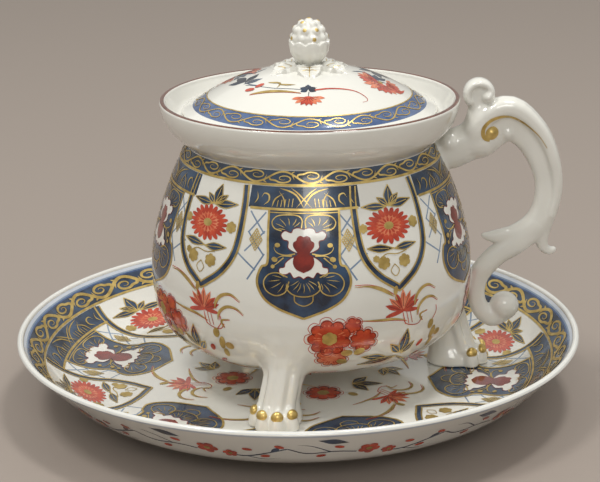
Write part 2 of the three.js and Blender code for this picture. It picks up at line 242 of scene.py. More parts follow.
# Tendons: from over the paw's middle and out along each toe, up into the shin
TENDON_RADII = (2.2, 1.2)
TENDON_FOOT = Vector((0.4, 0, 7.4))
TENDON_REACH = 6.3
TENDON_TOP = Vector((-5, LEG_ASIDE, 25))
TENDON_TOP_RADII = Vector((7.1, 6.2, 0))
CLAW_RADII = Vector((1.7, 2.6, 2.3))
CLAW_HEIGHT = 6.3
CLAW_OUT = 1.4
CLAW_TILT = math.radians(-22)
CLAW_PINCH = 0.12
FEET = ("foot_front", "foot_right", "foot_back")

# Finial, from the bowl's axis and above the dome's top
FINIAL_GRAIN = 0.32
FINIAL_LOW = (-11, -11, -2.5)
FINIAL_HIGH = (11, 11, 21.5)
# The calyx of the finial: height above the dome's top, radius
CALYX = [(-2, 4.4), (0, 4.4), (1.4, 5.1), (3.4, 6.8), (6, 8.1), (9, 8.6), (11.4, 8.4), (13.4, 8.2)]
CALYX_RIM = 10.2
CALYX_PETALS = 9
CALYX_WAIST = 0.965
CALYX_SWELL = 0.05
# The calyx's wall leans, so the distance to it is this share of the way straight out
CALYX_SLOPE = 0.9
CALYX_SCALLOP = 1.5
SCALLOP_ROUNDNESS = 0.6
BUD_JOIN = 0.6
KNOB_JOIN = 0.5
BUD_HEIGHT = 10.8
BUD_RADII = Vector((7.1, 7.1, 8.0))
# Rows of knobs on the bud: degrees above its equator, how many, radius
KNOBS = [(8, 9, 2.0), (34, 8, 1.9), (60, 5, 1.9), (90, 1, 2.0)]
KNOB_SINK = 0.45
KNOB_TURN = 0.15
# The gilt caps: reach, how far their edges sink in, and which of every five knobs have none
CAP_REACH = 0.95
CAP_SINK = 0.03
BARE_KNOBS = (1, 3)
# Relief leaves, each from rows and columns of points
LEAF_COUNT = 6
LEAF_GRID = (31, 21)
LEAF_CREASE = 80
LEAF_START = 5.4
LEAF_LENGTH = 13.6
LEAF_HALF_WIDTH = 5.3
LEAF_THICKNESS = 2.3
LEAF_SINK = 0.4
LEAF_EDGE_WAVE = 0.09
LEAF_CURL = 0.45
LEAF_GROOVE = 0.5
LEAF_GROOVE_WIDTH = 0.13
LEAF_RIBS = 5
LEAF_RIB_HEIGHT = 0.2
LEAF_RIB_SLANT = 1.3
# Gilt veins: start and end of the middle one, starts, length and reach of the side ones, half width
MIDDLE_VEIN = (0.06, 0.8)
SIDE_VEIN_STARTS = (0.2, 0.42)
SIDE_VEIN_LENGTH = 0.16
SIDE_VEIN_REACH = 0.55
VEIN_HALF_WIDTH = 0.26
VEIN_TAPER = 0.7


def vectors(points):
    """Vectors from pairs or threes of numbers."""
    return [Vector(p) for p in points]


def polar_point(radius, degrees):
    """A point by its distance and its direction."""
    return Vector((radius * math.cos(math.radians(degrees)), radius * math.sin(math.radians(degrees))))


def sideways(points):
    """The direction to the right of a line at each of its points, with y pointing down."""
    along = [(b - a).normalized() for a, b in zip(points[:1] + points[:-1], points[1:] + points[-1:])]
    return [Vector((-way.y, way.x)) for way in along]


def bezier(a, b, c, d, steps=STEPS):
    """Points on a cubic curve, both ends included."""
    points = []
    for i in range(steps + 1):
        t = i / steps
        s = 1 - t
        points.append(s ** 3 * a + 3 * s * s * t * b + 3 * s * t * t * c + t ** 3 * d)
    return points


def arc(centre, radius, start, end, steps=STEPS):
    """Part of a circle from one angle in degrees to another."""
    return [centre + polar_point(radius, start + (end - start) * i / steps) for i in range(steps + 1)]


def edge_arc(radius, top, rounding, start=0, end=180):
    """The rounding of an edge, from its outside over its top."""
    return arc(Vector((radius - rounding, top - rounding)), rounding, start, end)


def softened(points, reach):
    """The polyline with each inner corner rounded, the curve starting a reach from the corner."""
    points = vectors(points)
    out = [points[0]]
    for before, corner, after in zip(points, points[1:], points[2:]):
        into = corner - before
        away = after - corner
        cut_in = corner - into.normalized() * min(reach, into.length / 2)
        cut_out = corner + away.normalized() * min(reach, away.length / 2)
        for i in range(CORNER_STEPS + 1):
            t = i / CORNER_STEPS
            out.append((1 - t) ** 2 * cut_in + 2 * t * (1 - t) * corner + t * t * cut_out)
    return out + [points[-1]]


def divided(points, longest):
    """The polyline with its long stretches divided, so that no step is longer than that."""
    out = [points[0]]
    for before, after in zip(points, points[1:]):
        parts = max(1, math.ceil((after - before).length / longest))
        out += [before.lerp(after, i / parts) for i in range(1, parts + 1)]
    return out


def mesh_object(name, vertices, faces, crease=SMOOTH):
    """A smooth-shaded mesh object from vertices in millimetres."""
    mesh = bpy.data.meshes.new(name)
    mesh.from_pydata([tuple(v * MM) for v in vertices], [], faces)
    mesh.shade_smooth()
    mesh.set_sharp_from_angle(angle=math.radians(crease))
    obj = bpy.data.objects.new(name, mesh)
    bpy.context.collection.objects.link(obj)
    return obj


def finished(obj, body, colour):
    """Gives a piece its material and its body."""
    obj.data.materials.append(ENAMELS[colour])
    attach(obj, body)


def glazed(obj, body, node):
    """A piece in white glaze that stands for a CAD node."""
    finished(obj, body, "white")
    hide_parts(node)


def gilded(name, body, vertices, faces, crease=SMOOTH):
    """A gilded piece."""
    finished(mesh_object(name, vertices, faces, crease), body, "gold")


def grid_faces(rows, columns, first=0, closed=False, flipped=False):
    """Faces between points listed row by row, whose rows may close, and which may face the other way."""
    faces = []
    for row in range(rows - 1):
        for column in range(columns if closed else columns - 1):
            a = first + row * columns + column
            b = first + row * columns + (column + 1) % columns
            face = [a, b, b + columns, a + columns]
            faces.append(face[:1] + face[:0:-1] if flipped else face)
    return faces


def turned(name, profile, place, node):
    """A glazed piece turned about a vertical axis from a profile of radii and heights."""
    body, base = place
    vertices = []
    rows = []
    for radius, height in profile:
        facets = ROUND if radius > TINY else 1
        rows.append([len(vertices) + i % facets for i in range(ROUND)])
        for i in range(facets):
            angle = 2 * math.pi * i / ROUND
            vertices.append(base + Vector((radius * math.cos(angle), radius * math.sin(angle), height)))
    faces = []
    for lower, upper in zip(rows, rows[1:]):
        for i in range(ROUND):
            j = (i + 1) % ROUND
            face = list(dict.fromkeys([lower[i], lower[j], upper[j], upper[i]]))
            if len(face) > 2:
                faces.append(face)
    glazed(mesh_object(name, vertices, faces, CREASE), body, node)


COAT_ROUGHNESS = 0.05


def material(name, colour, roughness, metallic=0.0, coat=0.0):
    """A node material with its shader's single values set on the sockets."""
    made = bpy.data.materials.new(name)
    made.use_nodes = True
    shader = made.node_tree.nodes["Principled BSDF"]
    shader.inputs["Base Color"].default_value = (*colour, 1)
    shader.inputs["Roughness"].default_value = roughness
    shader.inputs["Metallic"].default_value = metallic
    shader.inputs["Coat Weight"].default_value = coat
    shader.inputs["Coat Roughness"].default_value = COAT_ROUGHNESS
    return made


def noise(made, scale, detail=2):
    """Fine noise that rides with the piece."""
    nodes = made.node_tree.nodes
    place = nodes.new("ShaderNodeTexCoord")
    grain = nodes.new("ShaderNodeTexNoise")
    grain.inputs["Scale"].default_value = scale
    grain.inputs["Detail"].default_value = detail
    made.node_tree.links.new(place.outputs["Object"], grain.inputs["Vector"])
    return grain.outputs["Fac"]


def led_by(made, kind, inlet, value, outlet, socket):
    """A new node that takes a value in and drives one socket of the shader."""
    node = made.node_tree.nodes.new(kind)
    made.node_tree.links.new(value, node.inputs[inlet])
    shader = made.node_tree.nodes["Principled BSDF"]
    made.node_tree.links.new(node.outputs[outlet], shader.inputs[socket])
    return node


def vary_colour(made, scale, dark, light, span, detail):
    """Lets noise drive the base colour from one colour to another, over a span of the noise."""
    node = led_by(made, "ShaderNodeValToRGB", "Fac", noise(made, scale, detail), "Color", "Base Color")
    for element, place, colour in zip(node.color_ramp.elements, span, (dark, light)):
        element.position = place
        element.color = (*colour, 1)


def vary_roughness(made, scale, low, high):
    """Lets noise drive the roughness between two values."""
    node = led_by(made, "ShaderNodeMapRange", "Value", noise(made, scale), "Result", "Roughness")
    node.inputs["To Min"].default_value = low
    node.inputs["To Max"].default_value = high


def bumpy(made, scale, strength, distance):
    """Adds a shallow unevenness of the surface."""
    node = led_by(made, "ShaderNodeBump", "Height", noise(made, scale), "Normal", "Normal")
    node.inputs["Strength"].default_value = strength
    node.inputs["Distance"].default_value = distance


def white_glaze():
    """Milky glaze, a little warmer and cooler from place to place, faintly uneven."""
    made = material("white_glaze", (0.77, 0.765, 0.71), 0.12, coat=0.6)
    vary_colour(made, 28, (0.745, 0.74, 0.685), (0.8, 0.795, 0.745), (0.3, 0.7), 3)
    bumpy(made, 70, 0.12, 0.0004)
    return made


def enamel(name, dark, light, scale):
    """A painted colour that runs from a full brush to a thin wash."""
    made = material(name, dark, 0.16, coat=0.5)
    vary_colour(made, scale, dark, light, WASH_SPAN, 4)
    return made


def gilding():
    """Burnished gold, worn a little dull in places."""
    made = material("gilding", (0.6, 0.43, 0.15), 0.3, metallic=0.75)
    vary_colour(made, 260, (0.5, 0.35, 0.11), (0.74, 0.55, 0.2), WASH_SPAN, 3)
    vary_roughness(made, 180, 0.22, 0.45)
    return made


# The stretch of the noise over which a colour runs from dark to light
WASH_SPAN = (0.35, 0.65)
ENAMELS = {
    "lip_blue": enamel("lip_blue", (0.53, 0.58, 0.66), (0.6, 0.65, 0.72), 90),
    "pale_blue": enamel("pale_blue", (0.16, 0.23, 0.34), (0.26, 0.34, 0.45), 90),
    "blue": enamel("blue", (0.003, 0.01, 0.028), (0.032, 0.07, 0.14), 120),
    "cover_blue": enamel("cover_blue", (0.03, 0.07, 0.19), (0.09, 0.15, 0.3), 160),
    "brown": enamel("brown", (0.1, 0.03, 0.015), (0.17, 0.055, 0.03), 200),
    "white": white_glaze(),
    "orange": enamel("orange", (0.62, 0.13, 0.05), (0.74, 0.25, 0.13), 300),
    "red": enamel("red", (0.38, 0.03, 0.012), (0.6, 0.075, 0.028), 220),
    "dark_red": enamel("dark_red", (0.14, 0.01, 0.006), (0.25, 0.02, 0.01), 260),
    "gold": gilding(),
}
dict.fromkeys(("lip_blue", "pale_blue", "blue", "cover_blue"), "blue_enamel")
dict.fromkeys(("orange", "red", "dark_red"), "red_enamel")


def dish_wall(radius, floor):
    """The saucer's straight flare and the arc below it, from an edge of a radius to the flat of a floor."""
    start = Vector((SAUCER_FLOOR_RADIUS, floor))
    end = Vector((radius, LIP_HEIGHT))
    across, up = end - start
    slope = math.tan(SAUCER_FLARE)
    bend = (slope * across - up) / (slope * math.sin(SAUCER_FLARE) - 1 + math.cos(SAUCER_FLARE))
    return [end, *arc(start + Vector((0, bend)), bend, -90, -90 + math.degrees(SAUCER_FLARE))[::-1]]


SAUCER_WELL = dish_wall(SAUCER_RADIUS - SAUCER_LIP, SAUCER_FLOOR_TOP)
SAUCER_INSIDE = divided([*SAUCER_WELL, Vector((0, SAUCER_FLOOR_TOP))], SAUCER_SPAN)
SAUCER_OUTSIDE = divided(dish_wall(SAUCER_RADIUS, SAUCER_FLOOR_TOP - SAUCER_WALL), SAUCER_SPAN)


def make_saucer():
    """The dish with its rounded lip and the foot ring turned in one with it."""
    lip = edge_arc(SAUCER_RADIUS, SAUCER_HEIGHT, SAUCER_LIP / 2)
    underside = SAUCER_FLOOR_TOP - SAUCER_WALL
    inner = FOOT_RING_RADIUS - FOOT_RING_WIDTH / 2
    outer = FOOT_RING_RADIUS + FOOT_RING_WIDTH / 2
    foot = softened([
        (0, underside), (inner, underside), (inner, 0), (outer, 0), (outer, underside), SAUCER_OUTSIDE[-1],
    ], FOOT_RING_ROUND)
    profile = [*foot, *SAUCER_OUTSIDE[-2:0:-1], *lip, *SAUCER_INSIDE[1:]]
    turned("saucer_dish", profile, SAUCER_PLACE, "saucer")


def belly(wall):
    """The bowl's section from the axis to the neck, set back from the outside by a wall."""
    points = []
    for i in range(2 * STEPS + 1):
        angle = math.pi / 2 * i / (2 * STEPS)
        points.append(Vector((
            (BELLY_RADIUS - wall) * math.sin(angle) ** (2 / BELLY_FULLNESS),
            BELLY_HEIGHT - (BELLY_DEPTH - wall) * max(math.cos(angle), 0) ** (2 / BELLY_FULLNESS),
        )))
    neck = Vector((NECK_RADIUS - wall, NECK_HEIGHT))
    waist = points[-1]
    shoulder = bezier(
        waist,
        waist + Vector((0, SHOULDER_LOW_PULL)),
        neck + Vector((SHOULDER_HIGH_PULL.x, -SHOULDER_HIGH_PULL.y)),
        neck,
        2 * STEPS,
    )
    return points + shoulder[1:]


def collar():
    """The flare from the neck to the rim."""
    neck = Vector((NECK_RADIUS, NECK_HEIGHT))
    rim = Vector((COLLAR_RADIUS, BOWL_HEIGHT - COLLAR_RIM))
    return bezier(neck, neck + COLLAR_LOW_PULL, rim - COLLAR_HIGH_PULL, rim)


BOWL_OUTSIDE = divided(belly(0), BELLY_SPAN)


def make_bowl():
    """The bellied shell with its flared collar and the ledge that carries the cover."""
    crest = edge_arc(COLLAR_RADIUS, BOWL_HEIGHT, COLLAR_RIM)
    top = crest[-1]
    ledge = Vector((GALLERY_RADIUS, LEDGE_HEIGHT))
    drop = top - ledge
    gallery = bezier(top, top - drop * GALLERY_TOP_PULL, ledge + drop * GALLERY_LOW_PULL, ledge)
    inside = belly(BOWL_WALL)
    bore = softened([gallery[-1], (GALLERY_RADIUS - GALLERY_LEDGE, LEDGE_HEIGHT), inside[-1]], LEDGE_ROUND)
    neck = softened([BOWL_OUTSIDE[-2], *collar()[:2]], NECK_ROUND)[1:-1]
    outside = [*BOWL_OUTSIDE[:-1], *neck, *collar()[1:]]
    profile = [*outside, *crest[1:], *gallery[1:-1], *bore, *inside[-2::-1]]
    turned("bowl_shell", profile, BOWL_PLACE, "bowl_body")


def dome_radius():
    """The radius of the sphere that the cover's dome is part of."""
    rise = LID_RISE - LID_MARGIN_RISE
    reach = LID_RADIUS - LID_MARGIN
    return (reach * reach + rise * rise) / (2 * rise)


def dome(radius, reach):
    """The dome's section from the axis out to a reach."""
    centre = DOME_TOP - dome_radius()
    sweep = math.asin(reach / radius)
    points = []
    for i in range(2 * STEPS + 1):
        angle = sweep * i / (2 * STEPS)
        points.append(Vector((radius * math.sin(angle), centre + radius * math.cos(angle))))
    return points


LID_START = Vector((LID_RADIUS - LID_TOP_INSET, LID_EDGE))
LID_OUTSIDE = [LID_START, *dome(dome_radius(), LID_RADIUS - LID_MARGIN)[::-1]]


def make_lid():
    """The domed cover with its flat margin and the ring that drops into the bowl's mouth."""
    inner = BEZEL_RADIUS - BEZEL_WIDTH
    edge = softened([
        (inner, 0), (inner, -BEZEL_DEPTH), (BEZEL_RADIUS, -BEZEL_DEPTH), (BEZEL_RADIUS, 0), (LID_RADIUS, 0),
        (LID_RADIUS, LID_EDGE), LID_OUTSIDE[1], LID_OUTSIDE[2],
    ], LID_EDGE_ROUND)
    profile = [*dome(dome_radius() - LID_WALL, inner), *edge[1:-1], *LID_OUTSIDE[2:]]
    turned("cover", profile, LID_PLACE, "lid")


# Enamel colours: how far each lies over the glaze in mm, so that later brush strokes cover earlier ones
LIFTS = {
    "lip_blue": 0.02,
    "pale_blue": 0.03,
    "blue": 0.05,
    "cover_blue": 0.05,
    "brown": 0.05,
    "white": 0.1,
    "orange": 0.12,
    "red": 0.14,
    "dark_red": 0.165,
    "gold": 0.19,
}
# Shapes of one colour lie this much over each other, in turns
LIFT_STEP = 0.002
LIFT_TURNS = 7
FILL_GRID = 1.8
LINE_STEP = 0.9
# The least share of its width that a stroke keeps at its points, and at the end of a tail
THIN_POINT = 0.12
THIN_TAIL = 0.15


def curve(points, steps=6):
    """A smooth line through a few points."""
    points = vectors(points)
    if len(points) < 3:
        return points
    padded = [2 * points[0] - points[1], *points, 2 * points[-1] - points[-2]]
    out = []
    for a, b, c, d in zip(padded, padded[1:], padded[2:], padded[3:]):
        for i in range(steps):
            t = i / steps
            out.append(0.5 * (2 * b + (c - a) * t + (2 * a - 5 * b + 4 * c - d) * t * t
                              + (3 * b - a - 3 * c + d) * t ** 3))
    return out + [points[-1]]


def mirrored(half):
    """A closed outline from its right half, listed from top to bottom."""
    return vectors(half) + [Vector((-x, y)) for x, y in reversed(half) if abs(x) > TINY]


def aside(points, distance):
    """The line moved to its right."""
    return [point + side * distance for point, side in zip(points, sideways(points))]


def oval(x, y, radius_x, radius_y, turn=0, count=14):
    """A closed oval outline, turned by some degrees."""
    spin = Matrix.Rotation(math.radians(turn), 2)
    ring = [2 * math.pi * i / count for i in range(count)]
    return [spin @ Vector((radius_x * math.cos(a), radius_y * math.sin(a))) + Vector((x, y)) for a in ring]


def scalloped(x, y, radius, lobes, depth, squash=1.0, steps=6):
    """A closed outline of round lobes."""
    out = []
    for i in range(lobes * steps):
        angle = 2 * math.pi * i / (lobes * steps)
        reach = radius * (1 - depth + depth * abs(math.sin(lobes * angle / 2)) ** 0.6)
        out.append(Vector((x + reach * math.cos(angle), y + squash * reach * math.sin(angle))))
    return out


def inside(point, outline):
    """Whether a point lies within a closed outline."""
    odd = False
    for a, b in zip(outline, outline[-1:] + outline[:-1]):
        if (a.y > point.y) != (b.y > point.y):
            if point.x < (b.x - a.x) * (point.y - a.y) / (b.y - a.y) + a.x:
                odd = not odd
    return odd


def filled(outline, grain):
    """Triangles over an outline, with a grid of points inside so that they bend with the surface."""
    low = Vector((min(p.x for p in outline), min(p.y for p in outline)))
    high = Vector((max(p.x for p in outline), max(p.y for p in outline)))
    grid = []
    for i in range(1, math.ceil((high.x - low.x) / grain)):
        for j in range(1, math.ceil((high.y - low.y) / grain)):
            point = low + Vector((i, j)) * grain
            if inside(point, outline):
                grid.append(point)
    edge = divided([*outline, outline[0]], grain)[:-1]
    points, _, faces = delaunay_2d_cdt(edge + grid, [], [list(range(len(edge)))], 1, 1e-5)[:3]
    return points, [list(f) for f in faces]


def ribbon(points, width, ends="even"):
    """A brush stroke along a line: even, pointed at both ends as a leaf, or running out to a tail."""
    points = divided(points, LINE_STEP)
    count = len(points)
    left = []
    right = []
    for i, (point, side) in enumerate(zip(points, sideways(points))):
        share = i / (count - 1)
        if ends == "leaf":
            size = max(THIN_POINT, math.sin(math.pi * share ** 0.8))
        elif ends == "tail":
            size = max(THIN_TAIL, 1 - share ** 1.5)
        else:
            size = 1
        left.append(point - side * (size * width / 2))
        right.append(point + side * (size * width / 2))
    return left + right, grid_faces(2, count)


class Motif:
    """A flat drawing in mm, x to the right and y away from the border, kept as small meshes."""

    def __init__(self):
        self.shapes = []

    def fill(self, colour, outline, grain=FILL_GRID):
        self.shapes.append((colour, *filled(outline, grain)))

    def ovals(self, colour, *ovals):
        for sizes in ovals:
            self.fill(colour, oval(*sizes))

    def line(self, colour, points, width, ends="even"):
        self.shapes.append((colour, *ribbon(curve(points), width, ends)))

    def lines(self, colour, ends, *strokes, sign=1):
        """Lines with their widths, mirrored where the sign is -1."""
        for points, width in strokes:
            self.line(colour, [(x * sign, y) for x, y in points], width, ends)

    def pairs(self, colour, ends, *strokes):
        """Lines with their widths on both sides."""
        for sign in (-1, 1):
            self.lines(colour, ends, *strokes, sign=sign)

    def add(self, other, x=0, y=0, turn=0, wide=1, tall=1):
        """Adds another drawing at a place, turned by some degrees, stretched or mirrored."""
        spin = Matrix.Rotation(math.radians(turn), 2)
        for colour, points, faces in other.shapes:
            moved = [spin @ Vector((p.x * wide, p.y * tall)) + Vector((x, y)) for p in points]
            self.shapes.append((colour, moved, faces))

    def spread(self, start, end, factor):
        """The same drawing, growing wider by a factor between two heights."""
        made = Motif()
        for colour, points, faces in self.shapes:
            shares = [min(max((p.y - start) / (end - start), 0), 1) for p in points]
            moved = [Vector((p.x * (1 + (factor - 1) * t), p.y)) for p, t in zip(points, shares)]
            made.shapes.append((colour, moved, faces))
        return made


class Painting:
    """What is painted on one turned surface.

    A drawing's u runs round the surface, measured at a reference radius with 0 towards the
    camera, and its v runs along the profile from the profile's first point.
    """

    def __init__(self, name, place, profile, reference, side):
        self.name = name
        self.body, self.base = place
        self.profile = profile
        self.reference = reference
        self.reach = [0.0]
        for a, b in zip(profile, profile[1:]):
            self.reach.append(self.reach[-1] + (b - a).length)
        self.outward = [away * side for away in sideways(profile)]
        self.layers = {}

    def place(self, u, v, lift):
        """The point at u and v, lifted off the surface, and the direction that faces outward."""
        i = min(max(bisect.bisect_right(self.reach, v) - 1, 0), len(self.profile) - 2)
        share = (v - self.reach[i]) / (self.reach[i + 1] - self.reach[i])
        out = self.outward[i].lerp(self.outward[i + 1], min(max(share, 0), 1)).normalized()
        at = self.profile[i].lerp(self.profile[i + 1], share) + out * lift
        angle = u / self.reference
        right, near = math.sin(angle), -math.cos(angle)
        point = self.base + Vector((at.x * right, at.x * near, at.y))
        return point, Vector((out.x * right, out.x * near, out.y))

    def stamp(self, motif, u=0.0, v=0.0, wide=1.0, tall=1.0):
        """Lays a drawing on the surface."""
        for colour, points, faces in motif.shapes:
            layer = self.layers.setdefault(colour, {"points": [], "normals": [], "faces": [], "count": 0})
            first = len(layer["points"])
            lift = LIFTS[colour] + LIFT_STEP * (layer["count"] % LIFT_TURNS)
            layer["count"] += 1
            for point in points:
                where, facing = self.place(u + point.x * wide, v + point.y * tall, lift)
                layer["points"].append(where)
                layer["normals"].append(facing)
            for face in faces:
                corners = [first + i for i in face]
                a, b, c = (layer["points"][i] for i in corners[:3])
                if (b - a).cross(c - a).dot(layer["normals"][corners[0]]) < 0:
                    corners.reverse()
                layer["faces"].append(corners)

    def lay(self, motif, turn=0):
        """Lays a drawing flat over the surface, as seen from above with the axis in its middle."""
        spin = Matrix.Rotation(math.radians(turn), 2)
        radii = [p.x for p in self.profile][::-1]
        reaches = self.reach[::-1]
        flat = Motif()
        for colour, points, faces in motif.shapes:
            moved = []
            for at in (spin @ point for point in points):
                reach = float(np.interp(at.length, radii, reaches))
                moved.append(Vector((math.atan2(at.x, -at.y) * self.reference, reach)))
            flat.shapes.append((colour, moved, faces))
        self.stamp(flat)

    def ring(self, colour, start, end):
        """A painted band all the way round, between two places along the profile."""
        band = Motif()
        steps = max(5, math.ceil((end - start) / FILL_GRID))
        around = 2 * math.pi * self.reference
        points = [Vector((around * i / ROUND, start + (end - start) * j / steps))
                  for i in range(ROUND + 1) for j in range(steps + 1)]
        band.shapes.append((colour, points, grid_faces(ROUND + 1, steps + 1)))
        self.stamp(band)

    def border(self, rings, bays, middle, height, width):
        """Painted bands, and a running scroll over them with every other bay turned over."""
        for ring in rings:
            self.ring(*ring)
        half_period = 2 * math.pi * self.reference / bays
        bay = scroll(half_period, height, width)
        for i in range(bays):
            self.stamp(bay, half_period * i, middle, tall=1 if i % 2 else -1)

    def finish(self):
        """Makes one mesh of each colour."""
        for colour, layer in self.layers.items():
            obj = mesh_object(f"{self.name}_{colour}", layer["points"], layer["faces"])
            obj.data.normals_split_custom_set_from_vertices([tuple(n) for n in layer["normals"]])
            finished(obj, self.body, colour)


def paint_edge(name, place, crest, radius, ring):
    """One painted band over the rounded edge of a piece."""
    edge = Painting(name, place, crest, radius, -1)
    edge.ring(*ring)
    edge.finish()


# The pattern repeats in sectors: half a sector is from the middle of a lappet to that of a shield
SECTOR = 77.9
HALF_SECTOR = SECTOR / 2
FINE_LINE = 0.42


def leaf(length, width):
    """A blue leaf with its gold outline and vein, growing from the origin up, towards minus y."""
    made = Motif()
    right = [(0, 0), (width * 0.42, -length * 0.3), (width * 0.5, -length * 0.55), (0, -length)]
    made.fill("blue", mirrored(curve(right, 4)))
    made.pairs("gold", "even", (right, FINE_LINE))
    made.line("gold", [(0, 0), (0, -length * 0.8)], FINE_LINE * 0.8)
    return made


def dark_leaf(length, width):
    """A plain blue leaf growing up from the origin."""
    made = Motif()
    made.fill("blue", mirrored(curve([(0, 0), (width * 0.5, -length * 0.5), (0, -length)], 5)))
    made.line("pale_blue", [(0, -length * 0.1), (0, -length * 0.8)], 0.22)
    return made


def sprig(spread, length, width):
    """Three leaves fanned out from one point, the middle one longer."""
    made = Motif()
    for side in (-1, 0, 1):
        made.add(leaf(length * (1 - 0.2 * abs(side)), width), turn=spread * side / 2)
    return made


def chrysanthemum(radius):
    """A round flower of narrow petals in two rings round a gold middle."""
    made = Motif()
    made.ovals("orange", (0, 0, radius * 0.74, radius * 0.74, 0, 28))
    outer = 20
    for i in range(outer):
        petal = Motif()
        reach = radius * (1 - 0.07 * (i % 2))
        petal.ovals("red", (0, -radius * 0.56 - reach * 0.18, radius * 0.112, reach * 0.27, 0, 10))
        made.add(petal, turn=360 * i / outer)
    inner = 14
    for i in range(inner):
        petal = Motif()
        petal.ovals("red", (0, -radius * 0.34, radius * 0.05, radius * 0.14, 0, 8))
        made.add(petal, turn=360 * i / inner)
    made.ovals("gold", (0, 0, radius * 0.21, radius * 0.21))
    return made


def rosette(radius):
    """A small gold flower head with a curl in it."""
    made = Motif()
    made.fill("gold", scalloped(0, 0, radius, 6, 0.2))
    made.line("red", [polar_point(radius * (0.75 - 0.09 * i), 70 * i) for i in range(7)], 0.3)
    return made


def head(radius, lobes, wash, squash=1.0):
    """A red flower head in round petals, with a fine outline round them and lighter petal edges."""
    made = Motif()
    made.fill(wash, scalloped(0, 0, radius * 0.94, lobes, 0.2, squash))
    rim = scalloped(0, 0, radius * 1.06, lobes, 0.2, squash, 5)
    made.line("red", rim + rim[:1], 0.28)
    fringe = "red" if wash == "orange" else "orange"
    for i in range(lobes):
        angle = 360 * (i + 0.5) / lobes
        at = polar_point(radius * 0.62, angle)
        petal = [at + polar_point(radius * 0.27, angle + turn) for turn in range(-100, 101, 25)]
        made.line("dark_red", [(p.x, p.y * squash) for p in petal], 0.32)
        for turn in (-7, 7):
            stroke = [polar_point(radius * reach, angle + turn) for reach in (0.36, 0.58, 0.78)]
            made.line(fringe, [(p.x, p.y * squash) for p in stroke], 0.5, "leaf")
    return made


def peony_cluster():
    """The three red flower heads with their gold pebbles, low on the bowl."""
    made = Motif()
    made.add(head(3.6, 5, "red"), -19.4, 62.2)
    made.add(head(6.6, 8, "orange", 0.92), -27, 76.6)
    made.add(head(5.6, 8, "red"), -15.4, 69.2)
    made.add(head(8.8, 9, "red"), -28.1, 67.4)
    made.fill("gold", scalloped(-28.1, 67.4, 2.9, 6, 0.12))
    for x, y in ((-28.6, 66.6), (-27.2, 67.2), (-28.3, 68.4)):
        made.ovals("dark_red", (x, y, 0.24, 0.24, 0, 6))
    made.line("orange", [(-19, 71), (-17.4, 66.4), (-12.6, 66.2)], 0.5)
    for x, y, turn in ((-21.4, 74.6, 0), (-16.6, 74.4, -25), (-22.9, 79.4, 20)):
        made.ovals("gold", (x, y, 2.3, 1.6, turn))
        made.line("red", [(x - 2, y + 1.2), (x, y + 1.9), (x + 2.2, y + 0.8)], 0.25)
    return made


def leaf_cluster():
    """The blue leaves, buds and gold berries that run on from the flower heads."""
    made = Motif()
    for length, width, x, y, turn in (
        (12, 4.4, 2.3, 79.4, 4),
        (8.4, 3, 1.8, 79.4, -42),
        (7.6, 3, 3, 80.4, 38),
        (17.5, 4, 1.4, 81.4, -97),
        (12, 3.4, -3.6, 80.6, -77),
    ):
        made.add(leaf(length, width), x, y, turn)
    made.ovals("red", (11.1, 76.5, 1.2, 2, 25, 12), (12.8, 84.6, 1.1, 2.6, 50, 12))
    made.line("gold", [(2, 82), (12, 88.5), (24, 87.4), (38, 84)], 0.6)
    made.line("blue", [(2, 82.8), (12, 89.4), (24, 88.2), (38.6, 84.8)], 0.5)
    made.ovals("gold", (14.8, 68.4, 1.5, 2.2, 8), (16.8, 72.8, 1.4, 3.2, 8))
    made.ovals("gold", (20, 73.6, 1.9, 1.7, 8), (17.4, 78, 1.3, 2.6, 8))
    made.line("red", [(15.2, 67), (17.4, 63.6), (17.2, 60.8)], 0.35)
    return made


def lotus():
    """A spiky red flower head on its long low petals, opening upwards from the origin."""
    made = Motif()
    for colour, turn, length, width in (
        ("red", -66, 8.4, 2.2),
        ("red", 66, 8, 2.2),
        ("orange", -44, 8.6, 2.1),
        ("red", 44, 8.2, 2.1),
        ("red", -23, 9, 2.1),
        ("orange", 23, 8.6, 2.1),
        ("orange", 0, 9.2, 2.3),
    ):
        petal = Motif()
        petal.fill(colour, mirrored(curve([(0, 0), (width * 0.5, -length * 0.6), (0, -length)], 4)))
        petal.line("dark_red", [(0, -length * 0.2), (0, -length * 0.8)], 0.26)
        made.add(petal, turn=turn)
    made.ovals("red", (-3.2, 0.6, 4.4, 0.95, -12), (3.4, 0.2, 3.6, 0.9, 6))
    return made


